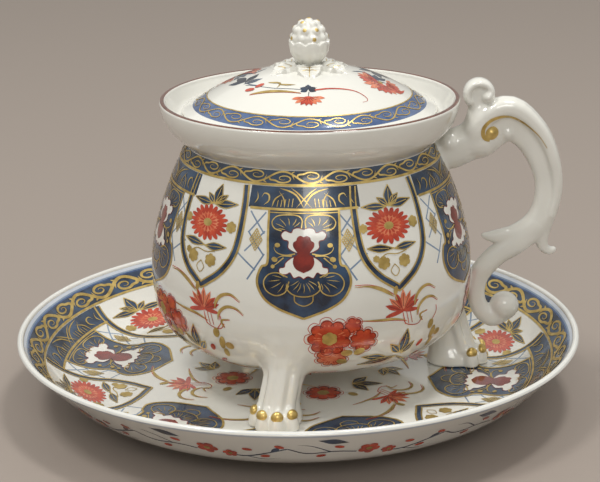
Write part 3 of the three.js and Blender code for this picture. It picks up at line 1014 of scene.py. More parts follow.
def lotus_sprig():
    """The lotus with its gold grass, curled leaves and long stem, as it grows under each shield."""
    made = Motif()
    made.add(lotus(), 0.6, 59.2)
    made.ovals("gold", (-2.5, 50.2, 0.95, 1.9, 10, 12))
    made.line("gold", [(-2.8, 52), (-2, 54.4)], 0.35)
    for points, width in (
        ([(-3.2, 52.6), (-8.1, 48.9), (-13.3, 47), (-18.6, 46.7)], 1.5),
        ([(5.8, 58), (6.6, 54.6), (9.2, 51.8), (12.9, 51), (16.8, 53.2)], 1.4),
        ([(7, 62.6), (7.9, 59), (11, 56.4), (14.8, 56.4), (18.2, 58.6)], 1.3),
        ([(9.7, 65.6), (8.7, 62.6), (12.2, 61.4)], 0.9),
    ):
        made.line("gold", points, width, "leaf")
        made.line("red", aside(vectors(points), width * 0.42), 0.26)
    made.line("red", [(-18, 46.8), (-13.3, 46.8)], 0.5, "leaf")
    for x in (0.6, 2.2, 3.8):
        made.line("red", [(x, 60), (x + 1.2, 65.2)], 0.3)
    made.line("red", [(0.8, 61), (1.7, 64.6), (4.9, 66.2), (8.1, 66.2), (9.8, 63.8)], 0.36)
    made.line("gold", [(2, 63.4), (-3, 62), (-9.6, 61.4), (-16, 60.6)], 1.0, "leaf")
    made.line("red", [(2.4, 63.9), (-3, 62.6), (-9.6, 61.9), (-16.4, 60.8)], 0.28)
    return made


# Half outlines of a lappet and a shield, from their top down, and the block over a lappet
LAPPET_EDGE = [
    (14.6, 16), (14.2, 26), (13.7, 36.4), (15.9, 38.4), (17.3, 42.5), (16.9, 46.6), (14.2, 51.2),
    (9.6, 54.5), (4.2, 56.9), (0, 58.6),
]
BLOCK_HALF = 24
BLOCK_TOP = 6.7
BLOCK_BOTTOM = 15.4
SHIELD_EDGE = [
    (14.8, 7), (15.5, 14), (15.4, 22), (14.9, 28.5), (13.8, 34), (11.4, 39), (7.4, 43.8), (3, 47.2),
    (0, 49.4),
]


def fan(outline, root, rays):
    """A gold petal outline with fine rays spreading from its root."""
    made = Motif()
    edge = curve(outline, 5)
    made.line("gold", outline, FINE_LINE * 1.1)
    root = Vector(root)
    for i in range(rays):
        tip = edge[round((i + 1) * (len(edge) - 1) / (rays + 1))]
        bend = root.lerp(tip, 0.6) + Vector((0.3, 0))
        made.line("gold", [root.lerp(tip, 0.3), bend, root.lerp(tip, 0.82)], 0.3, "leaf")
    return made


def butterfly():
    """The white cloud shapes and the red gourd between them, in the middle of a lappet."""
    made = Motif()
    upper = [
        (0, 23.2), (2.2, 22.6), (4.2, 23.2), (5, 24.6), (7.4, 23.9), (8.9, 25.4), (8, 27.3), (6, 28),
        (6, 30.4), (4.2, 31.8), (2.2, 32.6),
    ]
    lower = [
        (2.2, 33.6), (4.6, 34.4), (6.8, 36.4), (7.2, 38), (9, 38.6), (8.8, 40.6), (6.4, 40.9), (5, 40.2),
        (3.6, 42.2), (1.6, 41.6), (0, 42.6),
    ]
    crown = [
        (0, 26.2), (1.3, 25.7), (2.5, 26.4), (2.9, 27.6), (4, 28.4), (4, 30), (3, 31.5), (2.2, 32.8),
        (3.5, 33.8), (4, 35.6), (3.7, 37.4), (2.5, 39), (0, 40.2),
    ]
    made.fill("white", mirrored(curve(upper, 3) + curve(lower, 3)))
    made.pairs("dark_red", "even", (upper, 0.32), (lower, 0.32))
    made.fill("dark_red", mirrored(curve(crown, 3)))
    for x in (-2.2, -0.9, 0.9, 2.2):
        made.lines(
            "red", "leaf", ([(x * 0.4, 31.8), (x, 28.2)], 0.5), ([(x * 0.5, 34), (x * 0.8, 37.4)], 0.5),
        )
    return made


def tendrils():
    """The gold tendrils that spring from the red gourd to both sides."""
    made = Motif()
    strokes = (
        ([(3.2, 32.8), (7, 33.4), (10.2, 32.5), (11.4, 30.6), (10, 29.4)], 0.55),
        ([(4.4, 33.6), (8.4, 33.8), (10.8, 35.4)], 0.6),
        ([(7.6, 34.4), (10.4, 37), (12.2, 38.2)], 0.5),
    )
    buds = ((10.2, 29.6, 1.1, 0.9, 0, 10), (11, 35.2, 1.2, 1, 20, 10), (11.6, 38, 0.8, 0.8, 0, 8))
    for sign in (-1, 1):
        made.lines("gold", "tail", *strokes, sign=sign)
        made.ovals("gold", *[(x * sign, *rest) for x, *rest in buds])
    return made


def grasses():
    """The gold blades, curls and hatching in the dark block over a lappet."""
    made = Motif()
    blades = (
        ([(-10.8, 7.3), (-6.2, 8.4), (-2.8, 10.4), (0, 14.9)], 0.7),
        ([(-5.6, 7.1), (-2, 9.6), (3.3, 14.9)], 0.6),
        ([(-13.6, 14.9), (-12.4, 11.6), (-8.8, 9.2)], 0.6),
        ([(-8.2, 14.9), (-8.6, 11.6), (-11, 8.4)], 0.5),
        ([(-17.2, 14.2), (-15.2, 12.4), (-15.4, 10.2), (-17.4, 9.6), (-18.6, 11.2)], 0.7),
        ([(-21.4, 13.8), (-20.2, 11.6), (-20.8, 9)], 0.5),
    )
    hatches = [([(-11.4 + 1.6 * i, 14.6), (-11 + 1.6 * i, 12 - 0.2 * i)], 0.28) for i in range(5)]
    for sign in (-1, 1):
        made.lines("gold", "leaf", *blades, sign=sign)
        made.lines("gold", "even", *hatches, sign=sign)
    return made


def lappet(cloud_size=1.0):
    """The blue panel with its lobed end, and the dark block over it."""
    made = Motif()
    half = BLOCK_HALF
    block = [(-half, BLOCK_TOP), (half, BLOCK_TOP), (half, BLOCK_BOTTOM), (-half, BLOCK_BOTTOM)]
    made.fill("blue", vectors(block))
    made.fill("blue", mirrored([(0, LAPPET_EDGE[0][1]), *curve(LAPPET_EDGE, 3)]))
    made.line("gold", [(0.9 - half, 15.6), (half - 0.9, 15.6)], 1.0)
    made.line("gold", [(-14.6, 16.9), (14.6, 16.9)], 0.4)
    top = [
        (0.9, 22.8), (0.7, 19.6), (2.5, 17.9), (6.8, 17.6), (11, 18.3), (12.9, 20.6), (11.8, 23), (8.8, 24),
    ]
    low = [
        (5.9, 42), (9.6, 40.4), (13, 41.2), (14.8, 44.2), (13.7, 47.6), (10.3, 49.4), (7, 48.2), (5.4, 45.2),
    ]
    middle = [(5.3, 43.6), (6, 46.6), (3.6, 48.9)]
    for sign in (-1, 1):
        made.lines("gold", "even", (LAPPET_EDGE, 0.9), sign=sign)
        made.add(fan([(x * sign, y) for x, y in top], (5.4 * sign, 23.6), 6))
        made.add(fan([(x * sign, y) for x, y in low], (6 * sign, 42.6), 6))
    made.add(fan([*[(-x, y) for x, y in middle], (0, 49.6), *middle[::-1]], (0, 42), 7))
    made.line("gold", [(-3.4, 49.2), (-3, 51.8), (0, 53.3), (3, 51.8), (3.4, 49.2)], FINE_LINE)
    made.add(grasses())
    made.add(butterfly(), y=33 * (1 - cloud_size), wide=cloud_size, tall=cloud_size)
    made.add(tendrils())
    return made


def strip():
    """The white strip between a lappet and a shield, with fine blue lines and a gold hatched lozenge."""
    made = Motif()
    for start, end in (
        ((15, 17), (21.8, 25.5)),
        ((21.8, 17), (15, 25.5)),
        ((14.6, 34), (21.8, 25)),
        ((22.6, 33), (14.8, 24.5)),
        ((17.6, 40), (25.5, 33.8)),
        ((14.4, 33.4), (20.6, 44)),
    ):
        made.line("pale_blue", [start, end], 0.65)
    left, top, right, bottom = vectors([(15.6, 28), (18.2, 23.6), (20.8, 28), (18.2, 32.4)])
    hatches = 5
    for i in range(hatches + 1):
        share = i / hatches
        made.line("gold", [left.lerp(top, share), bottom.lerp(right, share)], 0.36)
        made.line("gold", [top.lerp(right, share), left.lerp(bottom, share)], 0.36)
    return made


def shield():
    """The white panel with its double gold and blue outline, and the flower that grows in it."""
    made = Motif()
    right = curve(SHIELD_EDGE, 4)
    edge = right + [Vector((-p.x, p.y)) for p in right[-2::-1]]
    for colour, shift, width in (("blue", 0, 2.3), ("gold", 1.15, 0.6), ("gold", -1.15, 0.8)):
        made.shapes.append((colour, *ribbon(aside(edge, shift), width)))
    for x, y, turn, length, width in (
        (0.5, 16.8, 12, 8.8, 4.2),
        (0.6, 16.6, 84, 12, 3),
        (-0.4, 16.6, -86, 12, 2.8),
        (0.2, 16.4, -52, 6, 2.4),
        (0.8, 16.2, 56, 7, 2.6),
        (-12, 32.2, 96, 11.6, 2.8),
        (-0.4, 33.6, 86, 10.6, 2.8),
    ):
        made.add(leaf(length, width), x, y, turn)
    made.line("gold", [(-8, 37.2), (-4, 35.2), (0.6, 35.8), (5, 35)], FINE_LINE)
    made.add(chrysanthemum(7.9), -1.2, 24.3, wide=1.34, tall=0.93)
    for x, y, radius in (
        (10.9, 24.6, 2.4), (-12.6, 24.2, 1.9), (3.4, 38.9, 2.7), (-5.6, 38.6, 2.7), (-8.6, 36.6, 1.4),
    ):
        made.add(rosette(radius), x, y)
    made.line("gold", [(-1.2, 39.6), (0.6, 42.2), (-1.2, 44.4), (-3, 42), (-1.2, 39.6)], 0.35)
    return made


def scroll(half_period, height, width):
    """One bay of a running scroll: a wave of the stem, the spiral that curls under it and its leaves."""
    made = Motif()
    crest = height * 0.42
    steps = 10
    shares = [i / steps for i in range(steps + 1)]
    wave = [(half_period * (t - 0.5), -crest * math.sin(math.pi * t)) for t in shares]
    made.line("gold", wave, width * 1.1)
    spiral = [(-half_period * 0.5, 0), (-half_period * 0.46, height * 0.2)]
    turns = 16
    for i in range(turns + 1):
        angle = math.radians(150 - 470 * i / turns)
        reach = 0.33 * (1 - 0.78 * i / turns)
        spiral.append((
            half_period * (0.02 + reach * math.cos(angle)),
            height * (0.1 + reach * math.sin(angle)),
        ))
    made.lines(
        "gold", "tail",
        (spiral, width),
        ([(half_period * 0.3, -crest * 0.75), (half_period * 0.42, -height * 0.44)], width * 0.9),
        ([(half_period * 0.32, -crest * 0.6), (half_period * 0.4, height * 0.16)], width * 0.9),
    )
    return made


# Borders: the painted bands from the edge inwards, then the scroll's bays, middle, height and line width
BOWL_BORDER = ([("blue", 0.2, 5.6), ("gold", 5.5, 6.5)], 30, 2.9, 5.4, 0.7)
SAUCER_BORDER = ([
    ("lip_blue", 0, 1.6), ("pale_blue", 1.5, 2.3), ("cover_blue", 2.2, 3), ("blue", 2.9, 11.2),
    ("gold", 11.1, 12.2),
], 46, 7, 7.8, 1.3)
LID_BORDER = ([("cover_blue", 3.9, 10.9), ("gold", 10.9, 11.4)], 26, 7.5, 5.6, 0.5)
# How many sectors go round, the radius at which they do, and how far the first is from the front
BOWL_SECTORS = 5
BOWL_REFERENCE = SECTOR * BOWL_SECTORS / (2 * math.pi)
BOWL_TURN = math.radians(-4.5) * BOWL_REFERENCE
SAUCER_SECTORS = 6
SAUCER_REFERENCE = SECTOR * SAUCER_SECTORS / (2 * math.pi)
SAUCER_TURN = math.radians(-102) * SAUCER_REFERENCE
LID_REFERENCE = 45.3
# The flowers stand aside where a foot grows out of the bowl
FLOWER_SHIFTS = (0, 0, 0, 13, 0)
LEAF_SHIFTS = (0, -7, 0, 6, -9)
# The strips stand this much nearer to the shield on the bowl
STRIP_SHIFT = 0.8
BRANCH_BAYS = 11
BRANCH_TURN = 0.57


def panels(lappet_drawing, shift=0.0):
    """The parts of a sector with their places: a lappet, the strips beside it and a shield."""
    other_strip = Motif()
    other_strip.add(strip(), wide=-1)
    strips = [(strip(), shift), (other_strip, shift)]
    return [(lappet_drawing, 2 * shift), *strips, (shield(), HALF_SECTOR - shift)]


def paint_bowl():
    """The scroll border at the neck, five lappets and shields, and the flowers below them."""
    painting = Painting("bowl", BOWL_PLACE, BOWL_OUTSIDE[::-1], BOWL_REFERENCE, 1)
    painting.border(*BOWL_BORDER)
    motifs = [*panels(lappet(), STRIP_SHIFT), (lotus_sprig(), HALF_SECTOR)]
    flowers = peony_cluster()
    leaves = leaf_cluster()
    for i, (flower_shift, leaf_shift) in enumerate(zip(FLOWER_SHIFTS, LEAF_SHIFTS)):
        middle = BOWL_TURN + SECTOR * i
        for motif, shift in [
            *motifs, (flowers, HALF_SECTOR + flower_shift), (leaves, HALF_SECTOR + leaf_shift),
        ]:
            painting.stamp(motif, middle + shift)
    painting.finish()
    crest = edge_arc(COLLAR_RADIUS, BOWL_HEIGHT, COLLAR_RIM, 20, 160)
    paint_edge("rim", BOWL_PLACE, crest, COLLAR_RADIUS, ("brown", 0.6, 2.3))


def bouquet():
    """One of the four bunches round the flower in the saucer's middle."""
    made = Motif()
    made.add(head(8, 8, "red"), 0, -30)
    made.fill("gold", scalloped(0, -30, 2.6, 6, 0.12))
    made.add(sprig(100, 13, 4.6), 15, -25, 70)
    made.add(sprig(80, 11, 4), -13, -34, -70)
    made.line("gold", [(-9, -14), (-3, -20), (0, -23)], 0.9, "leaf")
    made.ovals("gold", (11, -36, 1.6, 2.4, 30))
    return made


def paint_saucer():
    """The scroll border, six lappets and shields that point to the middle, and the flowers between."""
    painting = Painting("saucer", SAUCER_PLACE, SAUCER_INSIDE, SAUCER_REFERENCE, -1)
    painting.border(*SAUCER_BORDER)
    lappet_drawing, *strips, shield_drawing = panels(lappet(1.12).spread(34, 42, 1.22))
    grass = lotus_sprig()
    for i in range(SAUCER_SECTORS):
        middle = SAUCER_TURN + SECTOR * i
        for motif, shift in (lappet_drawing, shield_drawing, *strips):
            painting.stamp(motif, middle + shift, 5.4, tall=1.05)
        painting.stamp(grass, middle + HALF_SECTOR, 9, wide=1.6, tall=1.1)
    painting.lay(chrysanthemum(9))
    bunch = bouquet()
    for turn in (20, 110, 200, 290):
        painting.lay(bunch, turn)
    painting.finish()


def plum_branch():
    """One bay of the branch with red plum blossom that runs round under the saucer's edge."""
    made = Motif()
    made.line("blue", [(-34, 12.5), (-26, 17), (-14, 16), (-5, 17.5)], 0.8)
    made.line("blue", [(-16, 16.2), (-24, 10), (-30, 8.4)], 0.7, "tail")
    made.line("blue", [(6, 19), (16, 20.5), (26, 16.5), (34, 12.5)], 0.9)
    made.line("blue", [(16, 20.4), (24, 23), (31, 21.6)], 0.6, "tail")
    made.add(dark_leaf(13, 4.6), -22, 4.5, 105)
    made.add(dark_leaf(7, 2.6), 27, 16, 40)
    for x, y, size, turn in ((0, 15.3, 4.6, 10), (9.4, 18.6, 3.2, 50)):
        for i in range(5):
            petal = polar_point(size * 0.6, turn + 72 * i)
            made.ovals("red", (x + petal.x, y + petal.y, size * 0.44, size * 0.44, 0, 12))
        made.ovals("gold", (x, y, size * 0.3, size * 0.3, 0, 10))
    buds = ((-13, 11.4, 20), (-20, 19.4, -15), (17.5, 13.6, 10), (24.4, 19.6, -10), (31, 10.4, 30))
    made.ovals("red", *[(x, y, 2.2, 1.3, turn) for x, y, turn in buds])
    return made


def paint_saucer_outside():
    """The branch of plum blossom round the outside of the dish, and the pale lip."""
    painting = Painting("saucer_outside", SAUCER_PLACE, SAUCER_OUTSIDE, SAUCER_RADIUS, 1)
    painting.ring("lip_blue", 0, 1.6)
    branch = plum_branch()
    for i in range(BRANCH_BAYS):
        painting.stamp(branch, 2 * math.pi * SAUCER_RADIUS * (i - BRANCH_TURN) / BRANCH_BAYS)
    painting.finish()
    crest = edge_arc(SAUCER_RADIUS, SAUCER_HEIGHT, SAUCER_LIP / 2)
    length = sum((b - a).length for a, b in zip(crest, crest[1:]))
    paint_edge("saucer_lip", SAUCER_PLACE, crest, SAUCER_RADIUS, ("lip_blue", 0, length))


def spray_flower():
    """A half-open red flower, its petals fanned downwards."""
    made = Motif()
    for colour, turn, length in (
        ("orange", -86, 6.4),
        ("orange", -60, 6),
        ("orange", -37, 5.2),
        ("red", -14, 5),
        ("red", 10, 5),
        ("red", 34, 5.3),
        ("orange", 58, 6),
        ("orange", 84, 6.4),
    ):
        petal = Motif()
        half = [(0, -0.4), (0.35, -length * 0.35), (0.85, -length * 0.72), (0, -length)]
        petal.fill(colour, mirrored(curve(half, 4)), 0.9)
        petal.line("dark_red", [(0, -0.8), (0, -length * 0.6)], 0.2)
        made.add(petal, turn=turn + 180)
    made.ovals("red", (0, 0.5, 1.9, 0.9))
    made.line("blue", [(0, 0), (0.3, -3.4)], 0.3)
    return made


def flower_branch():
    """The long spray over the front of the cover, seen from above with y to the back."""
    made = Motif()
    made.line(
        "red", [(2, -27), (9.5, -25), (17.7, -24.3), (22.1, -26.6), (22.9, -28.8), (21, -30.8)], 1.0, "tail",
    )
    made.line("gold", [(-24.1, -22.7), (-15.8, -24.7), (-4, -28.6)], 1.7, "leaf")
    made.line("red", [(-24.3, -23.1), (-15.8, -25.5), (-3.6, -29)], 0.4)
    made.line("blue", [(-26, -13), (-15.3, -22.2), (-3, -26.6)], 0.4)
    made.line("gold", [(-16.7, -16.9), (-12, -19.6), (-13.2, -23)], 1.1, "leaf")
    made.line("gold", [(-12.4, -20.4), (-9, -21.8), (-5.6, -22.4)], 1.1, "leaf")
    made.ovals("red", (-20.2, -17.6, 2, 1.3, 20), (-24.2, -18.8, 2.1, 1.3, -25))
    for x, y, turn, length in (
        (-26, -9, 200, 11), (-26, -9, 236, 9), (-26.4, -10, 140, 9), (-27, -11, 90, 8),
    ):
        made.add(dark_leaf(length, 3.8), x, y, turn)
    made.line("blue", [(-26.4, -9.6), (-24, -14), (-21, -17)], 0.5)
    for turn in (60, 110, 180, 250, 300):
        made.add(dark_leaf(3.6, 2.6), -0.7, -26.3, turn)
    made.line("pale_blue", [(-3, -26.4), (-0.7, -25), (1.6, -26.4)], 0.35)
    made.add(spray_flower(), -0.7, -31.6, wide=1.05, tall=-1.05)
    return made


def double_flower():
    """The red flower in two lobes at the cover's side, with its blue calyx."""
    made = Motif()
    for x, y, turn, size in ((26.6, -8.6, -62, 1.35), (29.4, -11.4, 22, 1.35), (31.6, -8, 84, 1.1)):
        made.add(spray_flower(), x, y, turn, size, -size)
    for turn in (150, 185, 220):
        made.add(dark_leaf(7.5, 3), 27.6, -7, turn)
    made.ovals("gold", (28.8, -9.2, 1.1, 1.1, 0, 10))
    made.line("blue", [(17.5, -3.8), (22.5, -0.6), (26.4, -3.6)], 1.2, "leaf")
    return made


def red_arc():
    """The long red blade at the cover's left."""
    made = Motif()
    made.line("red", [(-38.9, 6), (-36.5, 11.5), (-31, 12), (-25.5, 6), (-21.9, -2.3)], 1.8, "leaf")
    return made


def paint_lid():
    """The lighter scroll border and the loose sprays of flowers on the dome."""
    painting = Painting("cover", LID_PLACE, LID_OUTSIDE, LID_REFERENCE, -1)
    painting.border(*LID_BORDER)
    for turn in (0, 180):
        painting.lay(flower_branch(), turn)
        painting.lay(double_flower(), turn)
    for turn in (0, 180):
        painting.lay(red_arc(), turn)
    painting.finish()
    crest = edge_arc(LID_RADIUS, LID_EDGE, LID_EDGE_ROUND, 0, 100)
    paint_edge("cover_edge", LID_PLACE, crest, LID_RADIUS, ("brown", 0.1, 1.75))


def soft_union(a, b, soft):
    """Joins two distance fields with a fillet."""
    near = np.maximum(soft - np.abs(a - b), 0) / soft
    return np.minimum(a, b) - near * near * soft / 4


def ball_field(points, centre, radii):
    """The distance to an ellipsoid, near enough."""
    offset = points - np.array(centre)
    scaled = offset / np.array(radii)
    near = np.linalg.norm(scaled, axis=-1)
    steep = np.linalg.norm(scaled / np.array(radii), axis=-1)
    return near * (near - 1) / np.maximum(steep, 1e-9)


def capsule_field(points, start, end, start_radius, end_radius):
    """The distance to a round bar that tapers from one end to the other."""
    start = np.array(start)
    along = np.array(end) - start
    share = np.clip(((points - start) @ along) / (along @ along), 0, 1)
    offset = points - start - share[..., None] * along
    return np.linalg.norm(offset, axis=-1) - start_radius - (end_radius - start_radius) * share


def along_stretch(x, y, a, b):
    """The share of the way from a to b that is nearest to each point, and the two distances from it."""
    run, rise = b[0] - a[0], b[1] - a[1]
    share = np.clip(((x - a[0]) * run + (y - a[1]) * rise) / (run * run + rise * rise), 0, 1)
    return share, x - a[0] - run * share, y - a[1] - rise * share


def branch_field(points, route, fullness):
    """The distance to an oval bar along a route in the handle's plane: x, z, half width, half depth."""
    field = np.full(points.shape[:-1], FAR)
    across = np.abs(points[..., 1])
    for a, b in zip(route, route[1:]):
        share, *away = along_stretch(points[..., 0], points[..., 2], a, b)
        half = a[2] + (b[2] - a[2]) * share
        depth = a[3] + (b[3] - a[3]) * share
        flat = np.hypot(*away)
        reach = (flat ** fullness + (across * half / depth) ** fullness) ** (1 / fullness)
        field = np.minimum(field, reach - half)
    return field


def bowl_field(points):
    """The distance to the bowl's outside."""
    radius = np.hypot(points[..., 0], points[..., 1])
    height = points[..., 2]
    outline = [(p.x, p.y) for p in BOWL_OUTSIDE + collar()[1:]]
    across_mouth = (0, outline[-1][1])
    field = np.full(radius.shape, FAR)
    for a, b in zip(outline, [*outline[1:], across_mouth]):
        field = np.minimum(field, np.hypot(*along_stretch(radius, height, a, b)[1:]))
    wall = np.interp(height, [z for _, z in outline], [r for r, _ in outline])
    within = (height > outline[0][1]) & (height < outline[-1][1]) & (radius < wall)
    return np.where(within, -field, field)


def relaxed(vertices, faces):
    """Evens out the small steps of the grid without shrinking the form."""
    pairs = np.concatenate([np.stack([faces[:, i], faces[:, (i + 1) % 4]], axis=1) for i in range(4)])
    neighbours = np.maximum(np.bincount(pairs[:, 0], minlength=len(vertices)), 1)[:, None]
    for share in SMOOTHING:
        total = np.zeros_like(vertices)
        np.add.at(total, pairs[:, 0], vertices[pairs[:, 1]])
        vertices = vertices + share * (total / neighbours - vertices)
    return vertices


class Clay:
    """A soft form on a grid of points, as the distance to its surface, which is skinned at the end."""

    def __init__(self, low, high, grain):
        self.low = np.array(low, dtype=float)
        self.grain = grain
        axes = [np.arange(a, b, grain) for a, b in zip(low, high)]
        self.points = np.stack(np.meshgrid(*axes, indexing="ij"), axis=-1)
        self.field = np.full(self.points.shape[:-1], FAR)

    def join(self, field, soft):
        self.field = soft_union(self.field, field, soft)

    def side(self, x, z):
        """How far the near side stands out from the handle's plane at a place in it."""
        across = (x - self.low[0]) / self.grain
        up = (z - self.low[2]) / self.grain
        i, k = int(across), int(up)
        u, w = across - i, up - k
        near = self.field[i:i + 2, :, k:k + 2]
        line = (near[0, :, 0] * (1 - u) * (1 - w) + near[1, :, 0] * u * (1 - w)
                + near[0, :, 1] * (1 - u) * w + near[1, :, 1] * u * w)
        j = int(np.argmax(line < 0))
        share = line[j - 1] / (line[j - 1] - line[j])
        return -(self.low[1] + (j - 1 + share) * self.grain)

    def skin(self):
        """Vertices and outward faces of the surface, one vertex for each cell that it crosses."""
        field = self.field
        solid = field < 0
        cells = tuple(n - 1 for n in field.shape)
        count = np.zeros(cells, dtype=int)
        corners = [(i, j, k) for i in (0, 1) for j in (0, 1) for k in (0, 1)]
        for i, j, k in corners:
            count += solid[i:cells[0] + i, j:cells[1] + j, k:cells[2] + k]
        crossed = np.argwhere((count > 0) & (count < len(corners)))
        index = np.full(cells, -1)
        index[tuple(crossed.T)] = np.arange(len(crossed))
        total = np.zeros((len(crossed), 3))
        hits = np.zeros(len(crossed))
        for axis in range(3):
            step = np.eye(3, dtype=int)[axis]
            for corner in corners:
                if corner[axis]:
                    continue
                start = crossed + corner
                a = field[tuple(start.T)]
                b = field[tuple((start + step).T)]
                cuts = (a < 0) != (b < 0)
                share = np.where(cuts, a / np.where(cuts, a - b, 1), 0)
                total += np.where(cuts[:, None], np.array(corner) + share[:, None] * step, 0)
                hits += cuts
        vertices = self.low + (crossed + total / hits[:, None]) * self.grain
        faces = []
        for axis in range(3):
            step, u, v = (np.eye(3, dtype=int)[(axis + turn) % 3] for turn in range(3))
            size = [n - 1 if i == axis else n for i, n in enumerate(field.shape)]
            a = field[:size[0], :size[1], :size[2]]
            b = field[step[0]:, step[1]:, step[2]:]
            cuts = np.argwhere((a < 0) != (b < 0))
            cuts = cuts[np.all((cuts - u - v >= 0) & (cuts < cells), axis=1)]
            around = [index[tuple((cuts - shift).T)] for shift in (u + v, v, 0 * u, u)]
            quads = np.stack(around, axis=1)
            leaving = a[tuple(cuts.T)] < 0
            faces.append(np.where(leaving[:, None], quads, quads[:, ::-1]))
        faces = np.concatenate(faces)
        return relaxed(vertices, faces), faces

    def bowl_piece(self, name, node, turn=0.0):
        """Makes the piece as it stands on the bowl, without what lies in the bowl's own surface."""
        vertices, faces = self.skin()
        above = bowl_field(vertices)
        kept = faces[np.any(above[faces] > SEAM, axis=1)]
        used = np.unique(kept)
        order = np.full(len(vertices), -1)
        order[used] = np.arange(len(used))
        body, base = BOWL_PLACE
        spin = Matrix.Rotation(turn, 3, "Z")
        points = [spin @ Vector(v) + base for v in vertices[used]]
        glazed(mesh_object(name, points, order[kept].tolist()), body, node)


def route_through(points, shift=0.0):
    """A smooth route of x, z, half width and half depth, moved outwards by a share of the half width."""
    through = curve(points, 4)
    out = []
    for at, side in zip(through, sideways([at.to_2d() for at in through])):
        middle = at.to_2d() + side * at.z * shift
        out.append((middle.x, middle.y, at.z, min(HANDLE_DEPTH, at.z * HANDLE_FLATNESS)))
    return out


def arm_route():
    """The arm, with flatter sides along its ridge that swell to their full depth below it."""
    route = route_through(ARM)
    out = []
    for i, (x, z, half, depth) in enumerate(route):
        share = np.interp(i / len(route), PANEL_END, (PANEL_SHARE, 1))
        out.append((x, z, half, depth * share))
    return out


def volute_route():
    """The scroll of the thumb rest, from its stem over the top to its eye."""
    round_eye = arc(Vector(VOLUTE_CENTRE), VOLUTE_RADIUS, VOLUTE_START, VOLUTE_START - VOLUTE_SWEEP, 16)
    return [(at.x, at.y, VOLUTE_BAND, VOLUTE_DEPTH) for at in round_eye]


def handle_clay():
    """The scroll handle as a soft form."""
    clay = Clay(HANDLE_LOW, HANDLE_HIGH, HANDLE_GRAIN)
    shifted = route_through(ARM[RIDGE_FIRST:RIDGE_LAST + 1], RIDGE_SHIFT)
    ridge = [(x, z, half * RIDGE_SHARE, depth) for x, z, half, depth in shifted]
    for route, join, fullness in (
        (arm_route(), SOFT_JOIN, ARM_FULLNESS),
        (route_through(ROOT), SOFT_JOIN, BRANCH_FULLNESS),
        (ridge + route_through(TAIL)[1:], CRISP_JOIN, RIDGE_FULLNESS),
        (route_through(LEAF_TIP), CRISP_JOIN, BRANCH_FULLNESS),
        (route_through(THUMB), SOFT_JOIN, BRANCH_FULLNESS),
        (volute_route(), CRISP_JOIN, BRANCH_FULLNESS),
    ):
        clay.join(branch_field(clay.points, route, fullness), join)
    for (x, z), radius, depth in ROUND_FORMS:
        clay.join(ball_field(clay.points, (x, 0, z), (radius, depth, radius)), CRISP_JOIN)
    clay.join(bowl_field(clay.points), BOWL_JOIN)
    return clay


def foot_clay():
    """One paw foot as a soft form, standing on the +X side."""
    clay = Clay(FOOT_LOW, FOOT_HIGH, FOOT_GRAIN)
    points = clay.points
    height = points[..., 2]
    heights, *sections = zip(*LEG)
    out, depth, width = (np.interp(height, heights, section) for section in sections)
    lean = np.interp(height, LEAN_HEIGHTS, (0, LEG_ASIDE))
    away = np.hypot((points[..., 0] - PAW_RADIUS - out) / depth, (points[..., 1] - lean) / width)
    clay.field = (away - 1) * np.minimum(depth, width)
    paw = Vector((PAW_RADIUS, 0, 0))
    clay.join(ball_field(points, paw, PAW_RADII), PAW_JOIN)
    for degrees in TOE_TURNS:
        spin = Matrix.Rotation(math.radians(degrees), 3, "Z")
        aim = spin @ Vector((1, 0, 0))
        tip = paw + Vector((TOE_SET_OUT, 0, 0)) + aim * TOE_RING
        clay.join(ball_field((points - np.array(tip)) @ np.array(spin), (0, 0, 0), TOE_RADII), CRISP_JOIN)
        knuckle = paw + TENDON_FOOT + aim * TENDON_REACH
        shin = paw + TENDON_TOP + aim * TENDON_TOP_RADII
        clay.join(capsule_field(points, knuckle, shin, *TENDON_RADII), SOFT_JOIN)
    clay.join(bowl_field(points), FOOT_JOIN)
    clay.field = np.maximum(clay.field, -height)
    return clay


def claws(turn):
    """The vertices and faces of the gilded claws on one foot."""
    vertices = []
    faces = []
    rows, columns = 9, 16
    base = BOWL_PLACE[1]
    spin = Matrix.Rotation(turn, 3, "Z")
    for degrees in TOE_TURNS:
        toe = Matrix.Rotation(math.radians(degrees), 3, "Z")
        face = toe @ Matrix.Rotation(CLAW_TILT, 3, "Y")
        root = Vector((PAW_RADIUS + TOE_SET_OUT, 0, CLAW_HEIGHT))
        middle = root + toe @ Vector((TOE_RING + CLAW_OUT, 0, 0))
        faces += grid_faces(rows, columns, len(vertices), closed=True)
        for row in range(rows):
            up = math.pi * row / (rows - 1)
            for column in range(columns):
                around = 2 * math.pi * column / columns
                on_ball = CLAW_RADII * Vector((
                    math.sin(up) * math.cos(around),
                    math.sin(up) * math.sin(around),
                    -math.cos(up),
                ))
                on_ball.y *= 1 - CLAW_PINCH * max(0, -math.cos(up))
                vertices.append(spin @ (middle + face @ on_ball) + base)
    return vertices, faces


def make_handle():
    """The handle with its gilded eye and line on both sides."""
    clay = handle_clay()
    clay.bowl_piece("handle_scroll", "handle")
    gilt = Motif()
    (x, z), radius = GILT_DISC
    gilt.fill("gold", oval(x, z, radius, radius, count=24), GILT_DISC_GRAIN)
    gilt.line("gold", GILT_LINE, GILT_LINE_WIDTH, "tail")
    body, base = BOWL_PLACE
    points = []
    faces = []
    for hand in (-1, 1):
        for _, flat, flat_faces in gilt.shapes:
            faces += [[len(points) + i for i in face] for face in flat_faces]
            for at in flat:
                points.append(base + Vector((at.x, hand * (clay.side(at.x, at.y) + GILT_LIFT), at.y)))
    gilded("handle_gilding", body, points, faces)


